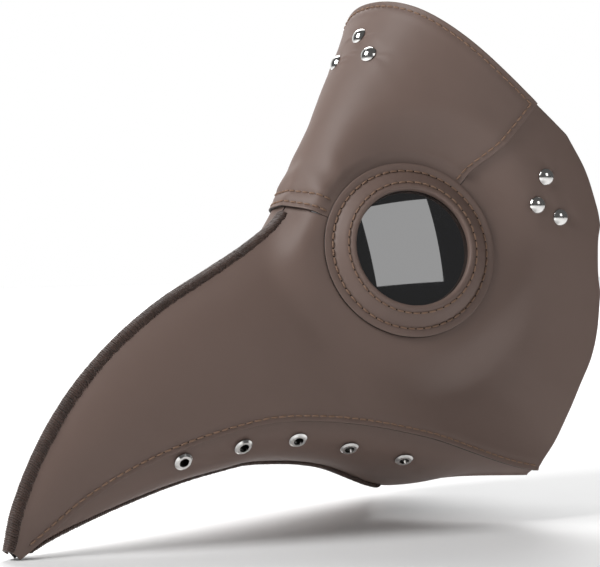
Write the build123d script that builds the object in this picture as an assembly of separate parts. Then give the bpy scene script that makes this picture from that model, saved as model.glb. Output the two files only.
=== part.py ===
from build123d import *
import math
import os

os.makedirs("parts", exist_ok=True)

# Plague doctor mask in stitched leather.  Millimetres.  X across the face (wearer's left is +X),
# the beak points to -Y, +Z is up.  The origin is the middle of the opening for the head, at eye level.

# ---------------------------------------------------------------- leather and clearances
LEATHER = 1.6            # mask panels
STRAP_LEATHER = 2.0      # harness straps
LAYER_GAP = 0.25         # between two leather layers sewn together
TUCK_GAP = 0.60          # between the side panel and the jaw panel tucked behind it
SEAM_UNDERLAP = 9.0      # side panel running on beneath the forehead panel
BRIDGE_UNDERLAP = 11.0   # the same at the bridge of the nose

# ---------------------------------------------------------------- shape of the side of the mask
# One row per section, from the tip of the beak back and up to the brow:
# ridge y, z | handle at the ridge: out, back, down | handle at the margin: in, forward, up | margin x, y, z
SECTIONS = [
    (-292.0, -146.6, 1.0, 0.4, 0.6, 0.1, 0.8, 0.8, 1.0, -290.0, -149.2),
    (-286.5, -124.3, 3.2, 2.0, 4.5, 0.3, 2.5, 6.0, 5.0, -274.6, -137.0),
    (-274.2, -97.3, 7.0, 3.5, 9.0, 1.0, 4.0, 12.0, 10.6, -255.6, -121.8),
    (-257.0, -72.2, 11.5, 4.5, 13.0, 2.0, 5.5, 18.0, 16.8, -234.8, -109.6),
    (-234.3, -49.5, 16.5, 6.0, 15.0, 3.5, 7.0, 23.0, 23.9, -211.2, -99.4),
    (-208.2, -30.7, 20.0, 8.0, 15.0, 5.0, 7.0, 28.0, 31.9, -184.5, -91.6),
    (-180.2, -15.8, 21.0, 11.0, 13.0, 7.0, 7.0, 34.0, 39.1, -160.5, -87.8),
    (-155.0, -1.8, 19.0, 12.0, 8.0, 12.0, 12.0, 44.0, 49.0, -125.5, -90.4),
    (-134.9, 13.5, 17.0, 3.0, 0.0, 15.0, 32.0, 58.0, 58.0, -85.0, -99.4),
    (-122.6, 35.2, 27.0, 0.0, 0.0, 17.0, 54.0, 72.0, 65.5, -9.0, -121.5),
    (-110.7, 56.3, 36.0, 0.0, 0.0, 17.0, 64.0, 60.0, 70.5, 10.0, -88.0),
    (-98.3, 79.2, 44.0, 0.0, 0.0, 15.0, 68.0, 36.0, 74.2, 28.0, -38.0),
    (-84.4, 103.2, 49.0, 0.0, 0.0, 10.0, 62.0, 28.0, 73.5, 28.5, 7.0),
    (-70.0, 128.3, 52.0, 0.0, 0.0, 4.0, 42.0, 28.0, 68.0, 11.0, 59.5),
    (-57.0, 150.9, 52.0, 0.0, 0.0, 3.0, 38.0, 24.0, 65.0, 2.0, 90.0),
]
LAST = len(SECTIONS) - 1

# Jaw panel: section it hangs from | margin x, y, z | handle at the margin: out, back, up
JAW_SECTIONS = [
    (0.0, 1.2, -290.4, -149.4, 0.3, 0.6, 0.3),
    (1.0, 1.3, -274.5, -140.9, 3.0, 0.4, 0.6),
    (2.0, 1.3, -251.5, -132.6, 6.0, 0.5, 1.0),
    (3.0, 1.3, -228.0, -125.6, 9.0, 1.0, 1.5),
    (4.0, 1.3, -203.0, -119.2, 12.0, 1.5, 1.5),
    (5.0, 1.3, -177.0, -114.6, 15.0, 1.0, 1.5),
    (6.0, 1.3, -153.0, -112.4, 18.0, 0.0, 1.5),
    (7.0, 1.3, -113.0, -117.0, 22.0, -2.0, 1.5),
    (8.0, 1.3, -71.2, -131.6, 26.0, 10.0, 2.5),
    (8.5, 33.0, -42.8, -125.6, 12.0, 8.0, 4.0),
    (9.0, 66.0, -9.0, -123.0, 0.2, 0.5, 1.0),
]
JAW_TUCK = 0.09          # share of the section over which the jaw runs behind the side panel
TIP_START = 0.20         # the side panels are cut off square at the tip
JAW_START = 0.45         # the jaw panel stops short of the very tip
KEEL_END = 8.0           # last jaw row whose margin lies on the keel
BRIDGE_AT = 8.05         # section at which the ridge stitching meets the forehead panel

# Outlines in side view (y, z)
BROW_EDGE = [(-77.0, 131.5), (-68.0, 123.6), (-58.4, 113.8), (-47.9, 103.0), (-33.8, 88.6), (-17.2, 72.6)]
REAR_CORNER = (1.4, 56.7)
REAR_UPPER = [(12.6, 38.5), (19.6, 19.5), (21.8, 9.0)]
REAR_SCALLOP = [(20.2, 0.0), (20.2, -16.0), (21.8, -27.0)]
REAR_LOWER = [(20.0, -47.0), (16.2, -62.0), (9.6, -76.0), (2.8, -91.0), (-4.7, -106.6), (-14.9, -119.0)]
BRIDGE_EDGE = [(-150.0, 23.0), (-135.5, 18.8), (-121.0, 12.2)]
SEAM_FOOT = (-54.0, 26.4)
SEAM_HEAD = (-17.2, 72.6)

# ---------------------------------------------------------------- eyepieces
EYE_CENTRE = (40.5, -83.6, -4.0)
EYE_AZIMUTH = 70.0       # direction the eyepiece faces, from straight ahead
EYE_ELEVATION = 14.0
EYE_FLAT_R = 47.0        # the skin lies flat under the ring out to here
EYE_FADE_R = 80.0        # and is back to its own shape here
RING_R = 46.0
RING_RIM_R = 30.4
RING_HEIGHT = 9.0
RING_LEATHER = 1.6
LENS_R = 32.8
LENS_THICK = 1.9
LENS_DOME = 2.3
LENS_SEAT = 4.95         # height of the lens edge above the eyepiece plane
LENS_CLEARANCE = 0.08
LENS_EDGE_CLEARANCE = 0.3
EYE_HOLE_R = 37.2
RETAINER_R = 36.8
RETAINER_BORE_R = 29.6

# ---------------------------------------------------------------- hardware
RIVET_CAP_R = 4.5
RIVET_CAP_H = 2.3
RIVET_STEM_R = 1.5
RIVET_HOLE_R = 1.6
RIVET_BACK_R = 4.2
RIVET_BACK_T = 0.7
BACK_GAP = 0.4           # the flat back stands off the curved leather
TEMPLE_RIVETS = [(0.775, 12.08), (0.750, 11.65), (0.825, 11.73)]
BROW_RIVETS = [(0.0, 12.18), (0.088, 11.82), (-0.088, 11.70)]
EYELETS = [(0.32, 4.0), (0.36, 5.15), (0.36, 6.25), (0.42, 7.0), (0.42, 7.7)]
EYELET_R = 4.75
EYELET_BORE_R = 2.5
EYELET_WALL = 0.35
EYELET_HOLE_CLEARANCE = 0.15
EYELET_FLANGE = 0.9
WASHER_R = 4.6
WASHER_T = 0.5

# ---------------------------------------------------------------- harness
STRAP_W = 22.0
STRAP_RISE = 19.0        # degrees the side straps climb towards the back of the head
FOLD_GAP = 0.4           # between a riveted strap end and the free strap
SIDE_FOLD = (66.0, -0.3, 25.9)
BROW_FOLD = (0.0, -90.2, 88.5)
LEFT_REST = 62.0         # degrees the free strap is turned inwards from straight back
LEFT_LENGTH = 52.0
RIGHT_REST = 14.0
RIGHT_RUN = 66.0
RIGHT_BEND_R = 13.0
RIGHT_RETURN = 70.0
TOP_LENGTH = 168.0
TOP_LOOP_GAP = 4.4
PIN_R = 1.3
PIN_CLEARANCE = 0.35
BUCKLE_WIRE_R = 1.5
BUCKLE_L = 24.0
BUCKLE_W = 29.0
PRONG_R = 1.1
SLOT_W = 6.0             # slot in the strap's fold that the prong swings in
SLOT_BACK = 9.0
HOLE_R = 1.8
HOLE_PITCH = 10.0
KEEPER_W = 9.0
KEEPER_T = 1.5
KEEPER_CLEARANCE = 0.35


# ================================================================ small vector helpers
def add(a, b, k=1.0):
    return (a[0] + k * b[0], a[1] + k * b[1], a[2] + k * b[2])


def dot(a, b):
    return a[0] * b[0] + a[1] * b[1] + a[2] * b[2]


def cross(a, b):
    return (a[1] * b[2] - a[2] * b[1], a[2] * b[0] - a[0] * b[2], a[0] * b[1] - a[1] * b[0])


def length(a):
    return math.sqrt(dot(a, a))


def unit(a):
    size = length(a)
    return (a[0] / size, a[1] / size, a[2] / size)


def smooth(x):
    x = min(1.0, max(0.0, x))
    return x * x * x * (10 - 15 * x + 6 * x * x)


# ================================================================ the skin of the mask
def eased(rows, t):
    """Row of numbers between the rows of a table, on a smooth curve through them."""
    n = len(rows)
    t = min(max(t, 0.0), n - 1.0)
    i = min(int(t), n - 2)
    f = t - i

    def slope(j, k):
        a, b = max(j - 1, 0), min(j + 1, n - 1)
        return (rows[b][k] - rows[a][k]) / (b - a)

    out = []
    for k in range(len(rows[0])):
        p, q = rows[i][k], rows[i + 1][k]
        m, o = slope(i, k), slope(i + 1, k)
        a = 2 * p - 2 * q + m + o
        b = -3 * p + 3 * q - 2 * m - o
        out.append(((a * f + b) * f + m) * f + p)
    return out


def bezier(p, q, r, s, u):
    v = 1 - u
    a, b, c, d = v * v * v, 3 * v * v * u, 3 * v * u * u, u * u * u
    return tuple(a * p[k] + b * q[k] + c * r[k] + d * s[k] for k in range(3))


def eye_axis():
    a, e = math.radians(EYE_AZIMUTH), math.radians(EYE_ELEVATION)
    return (math.sin(a) * math.cos(e), -math.cos(a) * math.cos(e), math.sin(e))


EYE_AXIS = eye_axis()


def eye_coords(p):
    """Height above the eyepiece plane and distance from its axis."""
    q = add(p, EYE_CENTRE, -1)
    h = dot(q, EYE_AXIS)
    return h, length(add(q, EYE_AXIS, -h))


def skin(s, t):
    """Inner surface of the side panel: s runs from the ridge to the margin, t from tip to brow."""
    ya, za, out, back, down, inward, forward, up, x, y, z = eased(SECTIONS, t)
    a = (0.0, ya, za)
    b = (x, y, z)
    p = bezier(a, (out, ya + back, za - down), (x - inward, y - forward, z + up), b, s)
    h, rho = eye_coords(p)
    w = smooth((EYE_FADE_R - rho) / (EYE_FADE_R - EYE_FLAT_R)) * smooth((p[0] - 1.0) / 17.0)
    return add(p, EYE_AXIS, -w * h)


def jaw(u, v):
    """Outer surface of the jaw panel: u runs from its tucked edge to the keel, v from tip to throat."""
    t, x, y, z, out, back, up = eased(JAW_SECTIONS, v)
    head = skin(1 - JAW_TUCK, t)
    edge = skin(1.0, t)
    margin = (x, y, z)
    run = add(edge, head, -1)
    reach = 0.9 * (length(run) + 0.32 * length(add(margin, edge, -1)))
    return bezier(head, add(head, unit(run), reach), (x + out, y + back, z + up), margin, u)


def normal(surface, a, b, e=1e-3):
    da = add(surface(a + e, b), surface(a - e, b), -1)
    db = add(surface(a, b + e), surface(a, b - e), -1)
    return unit(cross(da, db))


# ================================================================ closed sheets of leather
def grid_area(grid):
    total = 0.0
    for a, b in zip(grid, grid[1:]):
        for p, q, r, s in zip(a, a[1:], b, b[1:]):
            total += (s - p).cross(r - q).length / 2
    return total


def fitted(grid):
    """Smooth face through a grid of points; the closest fit whose area agrees with the grid's."""
    want = grid_area(grid)
    for tolerance in (0.04, 0.07, 0.1, 0.15, 0.2, 0.3):
        face = Face.make_surface_from_array_of_points(grid, tol=tolerance, min_deg=3, max_deg=3)
        if abs(face.area / want - 1) < 0.006:
            return face
    raise ValueError("no smooth face fits the grid")


def sheet(point, low, high, rows, cols):
    """Solid between two offsets of a surface; point(i, j, offset) with i, j from 0 to 1."""
    faces = []
    for off in (low, high):
        grid = []
        for i in range(rows + 1):
            grid.append([Vector(*point(i / rows, j / cols, off)) for j in range(cols + 1)])
        faces.append(fitted(grid))
    walls = []
    for a, b in zip(faces[0].edges(), faces[1].edges()):
        walls.append(Face.make_surface_from_curves(a, b))
    solid = Solid(Shell(faces + walls))
    if solid.volume < 0:
        solid = Solid(solid.wrapped.Reversed())
    return solid


def skin_point(s0, s1, t0, t1, lift=None):
    def point(i, j, off):
        s, t = s0 + (s1 - s0) * i, t0 + (t1 - t0) * j
        side = -1.0 if s < 0 else 1.0
        p = skin(abs(s), t)
        n = normal(skin, abs(s), t)
        if abs(s) < 1e-6 and s0 < 0:
            n = unit((0.0, n[1], n[2]))
        if lift:
            off = off + lift(p)
        p = add(p, n, off)
        return (side * p[0], p[1], p[2])
    return point


def jaw_point(u0, u1, v0, v1):
    def point(i, j, off):
        u, v = u0 + (u1 - u0) * i, v0 + (v1 - v0) * j
        return add(jaw(u, v), normal(jaw, u, v), off)
    return point


def saddle_point(surface, at_ridge, step, t0, t1, half_width, on_plane):
    """Strip lying over the joint of the two halves; i runs across it, j along it."""
    def point(i, j, off):
        a = 2 * i - 1
        t = t0 + (t1 - t0) * j
        side = -1.0 if a < 0 else 1.0
        speed = length(add(surface(at_ridge + step, t), surface(at_ridge, t), -1)) / abs(step)
        reach = min(half_width / speed, 0.35) * abs(a) ** 1.4
        at = at_ridge + math.copysign(reach, step)
        n = normal(surface, at, t)
        mid = unit((0.0, n[1], n[2]))
        fade = smooth(abs(a) / 0.5)
        lean = unit(tuple(mid[k] * (1 - fade) + n[k] * fade for k in range(3)))
        stretch = 1 + (1 / dot(mid, n) - 1) * (1 - smooth(abs(a) / 0.85))
        base = surface(at, t)
        if on_plane:
            base = (base[0] * smooth(abs(a) / 0.45), base[1], base[2])
        p = add(base, lean, off * stretch)
        return (side * p[0], p[1], p[2])
    return point


# ================================================================ knives seen from the side
def side_knife(*runs):
    """Prism right across the mask; each run is a list of (y, z) points, a smooth curve if over two."""
    edges = []
    for run in runs:
        points = [Vector(0, *p) for p in run]
        edges.append(Edge.make_spline(points) if len(points) > 2 else Edge.make_line(*points))
    return extrude(Face(Wire(edges)), amount=130, dir=(1, 0, 0), both=True)


def straight(points):
    return [[a, b] for a, b in zip(points, points[1:])]


def margin_knife():
    """All that lies inside the brow and rear edges."""
    upper = [REAR_CORNER] + REAR_UPPER
    scallop = [upper[-1]] + REAR_SCALLOP
    lower = [scallop[-1]] + REAR_LOWER
    around = [lower[-1], (-20.0, -135.0), (-320.0, -190.0), (-320.0, 120.0), (-110.0, 160.0), BROW_EDGE[0]]
    return side_knife(BROW_EDGE, [BROW_EDGE[-1], REAR_CORNER], upper, scallop, lower, *straight(around))


def forehead_knife(bridge_shift=0.0, seam_shift=0.0):
    """Region of the forehead panel, optionally drawn back from its two lower edges."""
    nose = [(y + 0.52 * bridge_shift, z + 0.85 * bridge_shift) for y, z in BRIDGE_EDGE]
    run = unit((0.0, SEAM_HEAD[0] - SEAM_FOOT[0], SEAM_HEAD[1] - SEAM_FOOT[1]))
    shift = (-run[2] * seam_shift, run[1] * seam_shift)
    foot = (SEAM_FOOT[0] + shift[0], SEAM_FOOT[1] + shift[1])
    far = (foot[0] + 90 * run[1], foot[1] + 90 * run[2])
    eye = (EYE_CENTRE[1], EYE_CENTRE[2])
    around = [nose[-1], eye, foot, far, (-40.0, 175.0), (-160.0, 150.0), nose[0]]
    return side_knife(nose, *straight(around))


def eye_plane():
    return Plane(origin=EYE_CENTRE, x_dir=cross((0, 0, 1), EYE_AXIS), z_dir=EYE_AXIS)


def eye_cylinder(radius, low, high):
    return eye_plane() * Pos(0, 0, (low + high) / 2) * Cylinder(radius, high - low)


def both_sides(shape):
    return shape, mirror(shape, about=Plane.YZ)


# ================================================================ panels
def stem_holes(places, surface=skin):
    """Round holes through the leather at rivets."""
    holes = []
    for a, b in places:
        side = -1.0 if a < 0 else 1.0
        p, n = surface(abs(a), b), normal(surface, abs(a), b)
        spot = Plane(origin=(side * p[0], p[1], p[2]), z_dir=(side * n[0], n[1], n[2]))
        holes.append(spot * Cylinder(RIVET_HOLE_R, 14))
    return holes


def side_panel():
    panel = sheet(skin_point(0.004, 1.0, TIP_START, LAST), 0.0, LEATHER, 26, 60)
    panel = panel & margin_knife()
    panel = panel - forehead_knife(BRIDGE_UNDERLAP, SEAM_UNDERLAP)
    panel = panel - (forehead_knife() & eye_cylinder(54.0, -14, 14))
    panel = panel - eye_cylinder(EYE_HOLE_R, -20, 20)
    for hole in stem_holes(TEMPLE_RIVETS):
        panel = panel - hole
    return largest(panel)


def forehead_panel():
    low = LEATHER + LAYER_GAP

    def lift(p):
        return -low * (1 - smooth((eye_coords(p)[1] - 47.0) / 7.0))

    reach = 0.93
    panel = sheet(skin_point(-reach, reach, 8.0, LAST, lift), low, low + LEATHER, 52, 30)
    panel = panel & margin_knife()
    panel = panel & forehead_knife()
    eye = eye_cylinder(EYE_HOLE_R, -20, 20)
    panel = panel - eye - mirror(eye, about=Plane.YZ)
    for hole in stem_holes(BROW_RIVETS):
        panel = panel - hole
    return largest(panel)


def jaw_panel():
    points = jaw_point(0.0, 1.0, JAW_START, len(JAW_SECTIONS) - 1)
    panel = sheet(points, -LEATHER - TUCK_GAP, -TUCK_GAP, 12, 44)
    panel = panel & margin_knife()
    panel = panel & Pos(100.15, -150, 0) * Box(200, 400, 400)
    for a, b in EYELETS:
        spot = Plane(origin=jaw(a, b), z_dir=normal(jaw, a, b))
        panel = panel - spot * Cylinder(EYELET_BORE_R + EYELET_WALL + EYELET_HOLE_CLEARANCE, 10)
    return largest(panel)


def largest(shape):
    return max(shape.solids(), key=lambda one: one.volume)


def ridge_stitch():
    low = LEATHER + LAYER_GAP
    return sheet(saddle_point(skin, 0.004, 0.01, 0.15, BRIDGE_AT, 3.2, True), low, low + 1.1, 12, 60)


def keel_stitch():
    return sheet(saddle_point(jaw, 1.0, -0.01, 0.6, KEEL_END - 0.05, 3.0, True), 0.05, 1.1, 12, 50)


# ================================================================ eyepieces
def turned(profile):
    """Ring turned about the eyepiece axis from an outline of (radius, height) points."""
    wire = Wire.make_polygon([Vector(r, 0, h) for r, h in profile], close=True)
    ring = revolve(Face(wire), axis=Axis.Z, revolution_arc=360)
    return eye_plane() * ring


def eye_ring():
    foot = LEATHER + LAYER_GAP
    top = foot + RING_LEATHER
    rim = RING_RIM_R
    outer = [(RING_R, foot), (RING_R, top - 0.3), (RING_R - 0.4, top), (42.0, top + 0.2), (40.6, top + 0.8)]
    outer += [(35.0, RING_HEIGHT - 1.0), (33.6, RING_HEIGHT - 0.2), (32.2, RING_HEIGHT)]
    outer += [(rim + 0.5, RING_HEIGHT - 0.4), (rim, RING_HEIGHT - 1.2), (rim, 5.3), (rim + 1.5, 5.3)]
    inner = [(rim + 1.5, RING_HEIGHT - 1.9), (33.2, RING_HEIGHT - 2.0)]
    inner += [(34.2, RING_HEIGHT - 2.6), (40.4, foot)]
    return turned(outer + inner)


def lens():
    ball = (LENS_R ** 2 + LENS_DOME ** 2) / (2 * LENS_DOME)
    steps = [LENS_R * k / 6 for k in range(7)]
    sides = []
    for top in (LENS_SEAT, LENS_SEAT - LENS_THICK):
        sides.append([(r, top + math.sqrt(ball ** 2 - r ** 2) - (ball - LENS_DOME)) for r in steps])
    edges = [Edge.make_spline([Vector(r, 0, h) for r, h in side]) for side in sides]
    for front, back in ((sides[0][0], sides[1][0]), (sides[0][-1], sides[1][-1])):
        edges.append(Edge.make_line((front[0], 0, front[1]), (back[0], 0, back[1])))
    return eye_plane() * revolve(Face(Wire(edges)), axis=Axis.Z, revolution_arc=360)


def lens_retainer():
    """Stiff backing ring that presses the lens up against the rim."""
    seat = LENS_SEAT - LENS_THICK - LENS_CLEARANCE
    wall = LENS_R + LENS_EDGE_CLEARANCE
    low = -0.6
    return turned([(RETAINER_BORE_R, low), (RETAINER_R, low), (RETAINER_R, 3.2), (RETAINER_R - 0.9, 3.9),
                   (wall, 3.9), (wall, seat), (RETAINER_BORE_R, seat)])


# ================================================================ rivets and eyelets
def outward_plane(surface, a, b, off):
    side = -1.0 if a < 0 else 1.0
    p, n = surface(abs(a), b), normal(surface, abs(a), b)
    if abs(a) < 1e-6:
        n = unit((0.0, n[1], n[2]))
    p = add(p, n, off)
    return Plane(origin=(side * p[0], p[1], p[2]), z_dir=(side * n[0], n[1], n[2]))


def rivet_caps(places, top, low):
    """Domed caps with their stems; top is the leather they sit on, low the far side of the stack."""
    caps = []
    ball = (RIVET_CAP_R ** 2 + RIVET_CAP_H ** 2) / (2 * RIVET_CAP_H)
    for a, b in places:
        dome = Pos(0, 0, RIVET_CAP_H - ball) * Sphere(ball)
        dome = dome & Pos(0, 0, RIVET_CAP_H) * Box(20, 20, 2 * RIVET_CAP_H)
        stem = Pos(0, 0, (low - top) / 2) * Cylinder(RIVET_STEM_R, top - low + 0.02)
        caps.append(outward_plane(skin, a, b, top) * (dome + stem))
    return Compound(children=[cap.solid() for cap in caps])


def rivet_backs(places, low):
    backs = []
    for a, b in places:
        disc = Cylinder(RIVET_BACK_R, RIVET_BACK_T) - Cylinder(RIVET_STEM_R, 4)
        tail = Pos(0, 0, -RIVET_BACK_T / 2 - 0.3) * (Cylinder(2.4, 0.6) - Cylinder(0.9, 2))
        backs.append(outward_plane(skin, a, b, low - RIVET_BACK_T / 2) * (disc + tail))
    return Compound(children=[back.solid() for back in backs])


def vent_eyelets():
    pieces = []
    depth = LEATHER + TUCK_GAP + WASHER_T + BACK_GAP + 0.3
    barrel_r = EYELET_BORE_R + EYELET_WALL
    above = (Align.CENTER, Align.CENTER, Align.MIN)
    below = (Align.CENTER, Align.CENTER, Align.MAX)
    for a, b in EYELETS:
        flange = Pos(0, 0, 0.15) * Cone(EYELET_R, EYELET_R - 1.0, EYELET_FLANGE, align=above)
        barrel = Pos(0, 0, 0.3) * Cylinder(barrel_r, depth + 0.3, align=below)
        curl = Pos(0, 0, -depth) * Cylinder(barrel_r + 0.6, 0.4, align=below)
        bore = Cylinder(EYELET_BORE_R, 20)
        pieces.append(outward_plane(jaw, a, b, 0.0) * (flange + barrel + curl - bore))
    return Compound(children=[piece.solid() for piece in pieces])


def eyelet_washers():
    pieces = []
    drop = LEATHER + TUCK_GAP + BACK_GAP + 0.15
    for a, b in EYELETS:
        ring = Cylinder(WASHER_R, WASHER_T) - Cylinder(EYELET_BORE_R + EYELET_WALL + 0.05, 4)
        pieces.append(outward_plane(jaw, a, b, -drop - WASHER_T / 2) * ring)
    return Compound(children=[piece.solid() for piece in pieces])


# ================================================================ harness
def strap_plane(origin, turn, left=True):
    """Frame of a side strap: x along the strap, y towards the middle of the head, z across its width."""
    c, s = math.cos(math.radians(STRAP_RISE)), math.sin(math.radians(STRAP_RISE))
    back, across, inward = (0.0, c, s), (0.0, -s, c), (-1.0, 0.0, 0.0)
    k, m = math.cos(math.radians(turn)), math.sin(math.radians(turn))
    along = tuple(k * back[i] + m * inward[i] for i in range(3))
    return Plane(origin=origin, x_dir=along, z_dir=across)


def anchor(places, low, outline):
    """Riveted end of a strap, moulded to the inside of the mask; outline is in side view."""
    s_all = [abs(a) for a, b in places]
    t_all = [b for a, b in places]
    s0 = -0.16 if min(a for a, b in places) < 0 else min(s_all) - 0.13
    s1 = 0.16 if s0 < 0 else max(s_all) + 0.17
    piece = sheet(skin_point(s0, s1, min(t_all) - 0.75, max(t_all) + 0.75), low - STRAP_LEATHER, low, 14, 14)
    piece = piece & outline
    for hole in stem_holes(places):
        piece = piece - hole
    return largest(piece)


def temple_anchor():
    c, s = math.cos(math.radians(STRAP_RISE)), math.sin(math.radians(STRAP_RISE))
    y0, z0 = SIDE_FOLD[1], SIDE_FOLD[2]

    def place(run, rise):
        return (y0 + run * c - rise * s, z0 + run * s + rise * c)

    end = -1.0 - FOLD_GAP
    half = STRAP_W / 2
    shape = [place(end, -half), place(end, half), place(-8, 14.5), place(-18, 8), place(-27, -3)]
    shape += [place(-22, -9), place(-12, -13), place(end, -half)]
    return anchor(TEMPLE_RIVETS, -0.25, side_knife(*straight(shape)))


def brow_anchor():
    low = LEATHER + LAYER_GAP - 0.25
    y0, z0 = BROW_FOLD[1], BROW_FOLD[2]
    shape = [(y0 - 30, z0 + 2), (y0 + 12, z0 + 2), (y0 + 35, z0 + 30), (y0 - 10, z0 + 45), (y0 - 30, z0 + 2)]
    piece = anchor(BROW_RIVETS, low, side_knife(*straight(shape)))
    slot = Pos(0, y0 + 10, z0 + 15) * Box(STRAP_W + 12, 90, 80)
    return largest(piece & slot)


def pin_loop(at, width):
    """End of a strap folded round a pin at x = at, with a slot for the prong."""
    ring_r = PIN_R + PIN_CLEARANCE + STRAP_LEATHER
    loop = Pos(at, 0, 0) * Cylinder(ring_r, width)
    bore = Pos(at, 0, 0) * Cylinder(PIN_R + PIN_CLEARANCE, width + 10)
    slot_end = ring_r + 0.8
    middle = at + (slot_end - SLOT_BACK) / 2
    slot = Pos(middle, 0, 0) * Box(SLOT_BACK + slot_end, 4 * ring_r, SLOT_W)
    return loop, bore, slot


def strap_left():
    at = LEFT_LENGTH
    loop, bore, slot = pin_loop(at, STRAP_W)
    main = Pos(at / 2, 0, 0) * Box(at, STRAP_LEATHER, STRAP_W) + Cylinder(STRAP_LEATHER / 2, STRAP_W)
    tail_at = at - 14
    tail = Pos(tail_at, STRAP_LEATHER, 0) * Box(24, STRAP_LEATHER, STRAP_W)
    return (main + loop + tail - bore - slot).solid()


def strap_right():
    """Runs back along the head, then turns round in a U and comes forward again to its pointed end."""
    half = STRAP_LEATHER / 2
    outer = RIGHT_BEND_R + half
    inner = RIGHT_BEND_R - half
    bend = Pos(RIGHT_RUN, RIGHT_BEND_R, 0) * (Cylinder(outer, STRAP_W) - Cylinder(inner, STRAP_W + 2))
    bend = bend & Pos(RIGHT_RUN + 50, RIGHT_BEND_R, 0) * Box(100, 100, 100)
    run = Pos(RIGHT_RUN / 2, 0, 0) * Box(RIGHT_RUN, STRAP_LEATHER, STRAP_W) + Cylinder(half, STRAP_W)
    back = Pos(RIGHT_RUN - RIGHT_RETURN / 2, 2 * RIGHT_BEND_R, 0) * Box(RIGHT_RETURN, STRAP_LEATHER, STRAP_W)
    tip_x = RIGHT_RUN - RIGHT_RETURN
    for side in (-1, 1):
        corner = Pos(tip_x, 2 * RIGHT_BEND_R, side * STRAP_W / 2) * Rot(0, 45, 0) * Box(11, 20, 11)
        back = back - corner
    for k in range(5):
        hole = Pos(tip_x + 14 + HOLE_PITCH * k, 2 * RIGHT_BEND_R, 0) * Rot(90, 0, 0) * Cylinder(HOLE_R, 8)
        back = back - hole
    return (run + bend + back).solid()


def strap_top():
    """Hangs straight down inside the brow; its end is turned up into a loop for the back strap."""
    half = STRAP_LEATHER / 2
    x0, y0, z0 = BROW_FOLD
    mid_r = TOP_LOOP_GAP / 2 + half
    main = Pos(0, y0, z0 - TOP_LENGTH / 2) * Box(STRAP_W, STRAP_LEATHER, TOP_LENGTH)
    main += Pos(0, y0, z0) * Rot(0, 90, 0) * Cylinder(half, STRAP_W)
    centre = (0, y0 + mid_r, z0 - TOP_LENGTH)
    bend = Rot(0, 90, 0) * (Cylinder(mid_r + half, STRAP_W) - Cylinder(mid_r - half, STRAP_W + 2))
    bend = Pos(*centre) * (bend & Pos(0, 0, -50) * Box(100, 100, 100))
    rise = Pos(0, y0 + 2 * mid_r, z0 - TOP_LENGTH + 14) * Box(STRAP_W, STRAP_LEATHER, 28)
    web = Pos(0, y0 + mid_r, z0 - TOP_LENGTH + 33) * Box(STRAP_W, 2 * mid_r + STRAP_LEATHER, 10)
    return (main + bend + rise + web).solid()


def buckle_frame():
    at = LEFT_LENGTH
    r = BUCKLE_WIRE_R
    half = BUCKLE_W / 2
    far = at + BUCKLE_L
    pin = Pos(at, 0, 0) * Cylinder(PIN_R, BUCKLE_W)
    bar = Pos(far, 0, 0) * Cylinder(r, BUCKLE_W)
    frame = pin + bar
    for side in (-1, 1):
        frame += Pos((at + far) / 2, 0, side * half) * Rot(0, 90, 0) * Cylinder(r, BUCKLE_L)
        frame += Pos(at, 0, side * half) * Sphere(r)
        frame += Pos(far, 0, side * half) * Sphere(r)
    return frame.solid()


def buckle_prong():
    at = LEFT_LENGTH
    eye = Pos(at, 0, 0) * (Cylinder(PIN_R + PIN_CLEARANCE + 1.3, 3.6) - Cylinder(PIN_R + PIN_CLEARANCE, 6))
    lift = BUCKLE_WIRE_R + 0.35 + PRONG_R
    root = (at + 2.4, -1.2, 0)
    tip = (at + BUCKLE_L + 1.2, -lift, 0)
    run = math.hypot(tip[0] - root[0], tip[1] - root[1])
    tilt = math.degrees(math.atan2(tip[1] - root[1], tip[0] - root[0]))
    rod = Pos((root[0] + tip[0]) / 2, (root[1] + tip[1]) / 2, 0) * Rot(0, 0, tilt) * Rot(0, 90, 0)
    rod = rod * Cylinder(PRONG_R, run)
    end = Pos(*tip) * Sphere(PRONG_R)
    start = Pos(*root) * Sphere(PRONG_R)
    bore = Pos(at, 0, 0) * Cylinder(PIN_R + PIN_CLEARANCE, 6)
    return (eye + rod + end + start - bore).solid()


def strap_keeper():
    gap = KEEPER_CLEARANCE
    inner_t, inner_w = STRAP_LEATHER + 2 * gap, STRAP_W + 2 * gap
    shell = Box(KEEPER_W, inner_t + 2 * KEEPER_T, inner_w + 2 * KEEPER_T)
    return (Pos(12.0, 0, 0) * (shell - Box(KEEPER_W + 2, inner_t, inner_w))).solid()


# ================================================================ all the pieces
def write(name, shape):
    shape.label = name
    export_step(shape, "parts/" + name + ".step")


def write_pair(name, shape):
    left, right = both_sides(shape)
    write(name + "_left", left)
    write(name + "_right", right)


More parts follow.
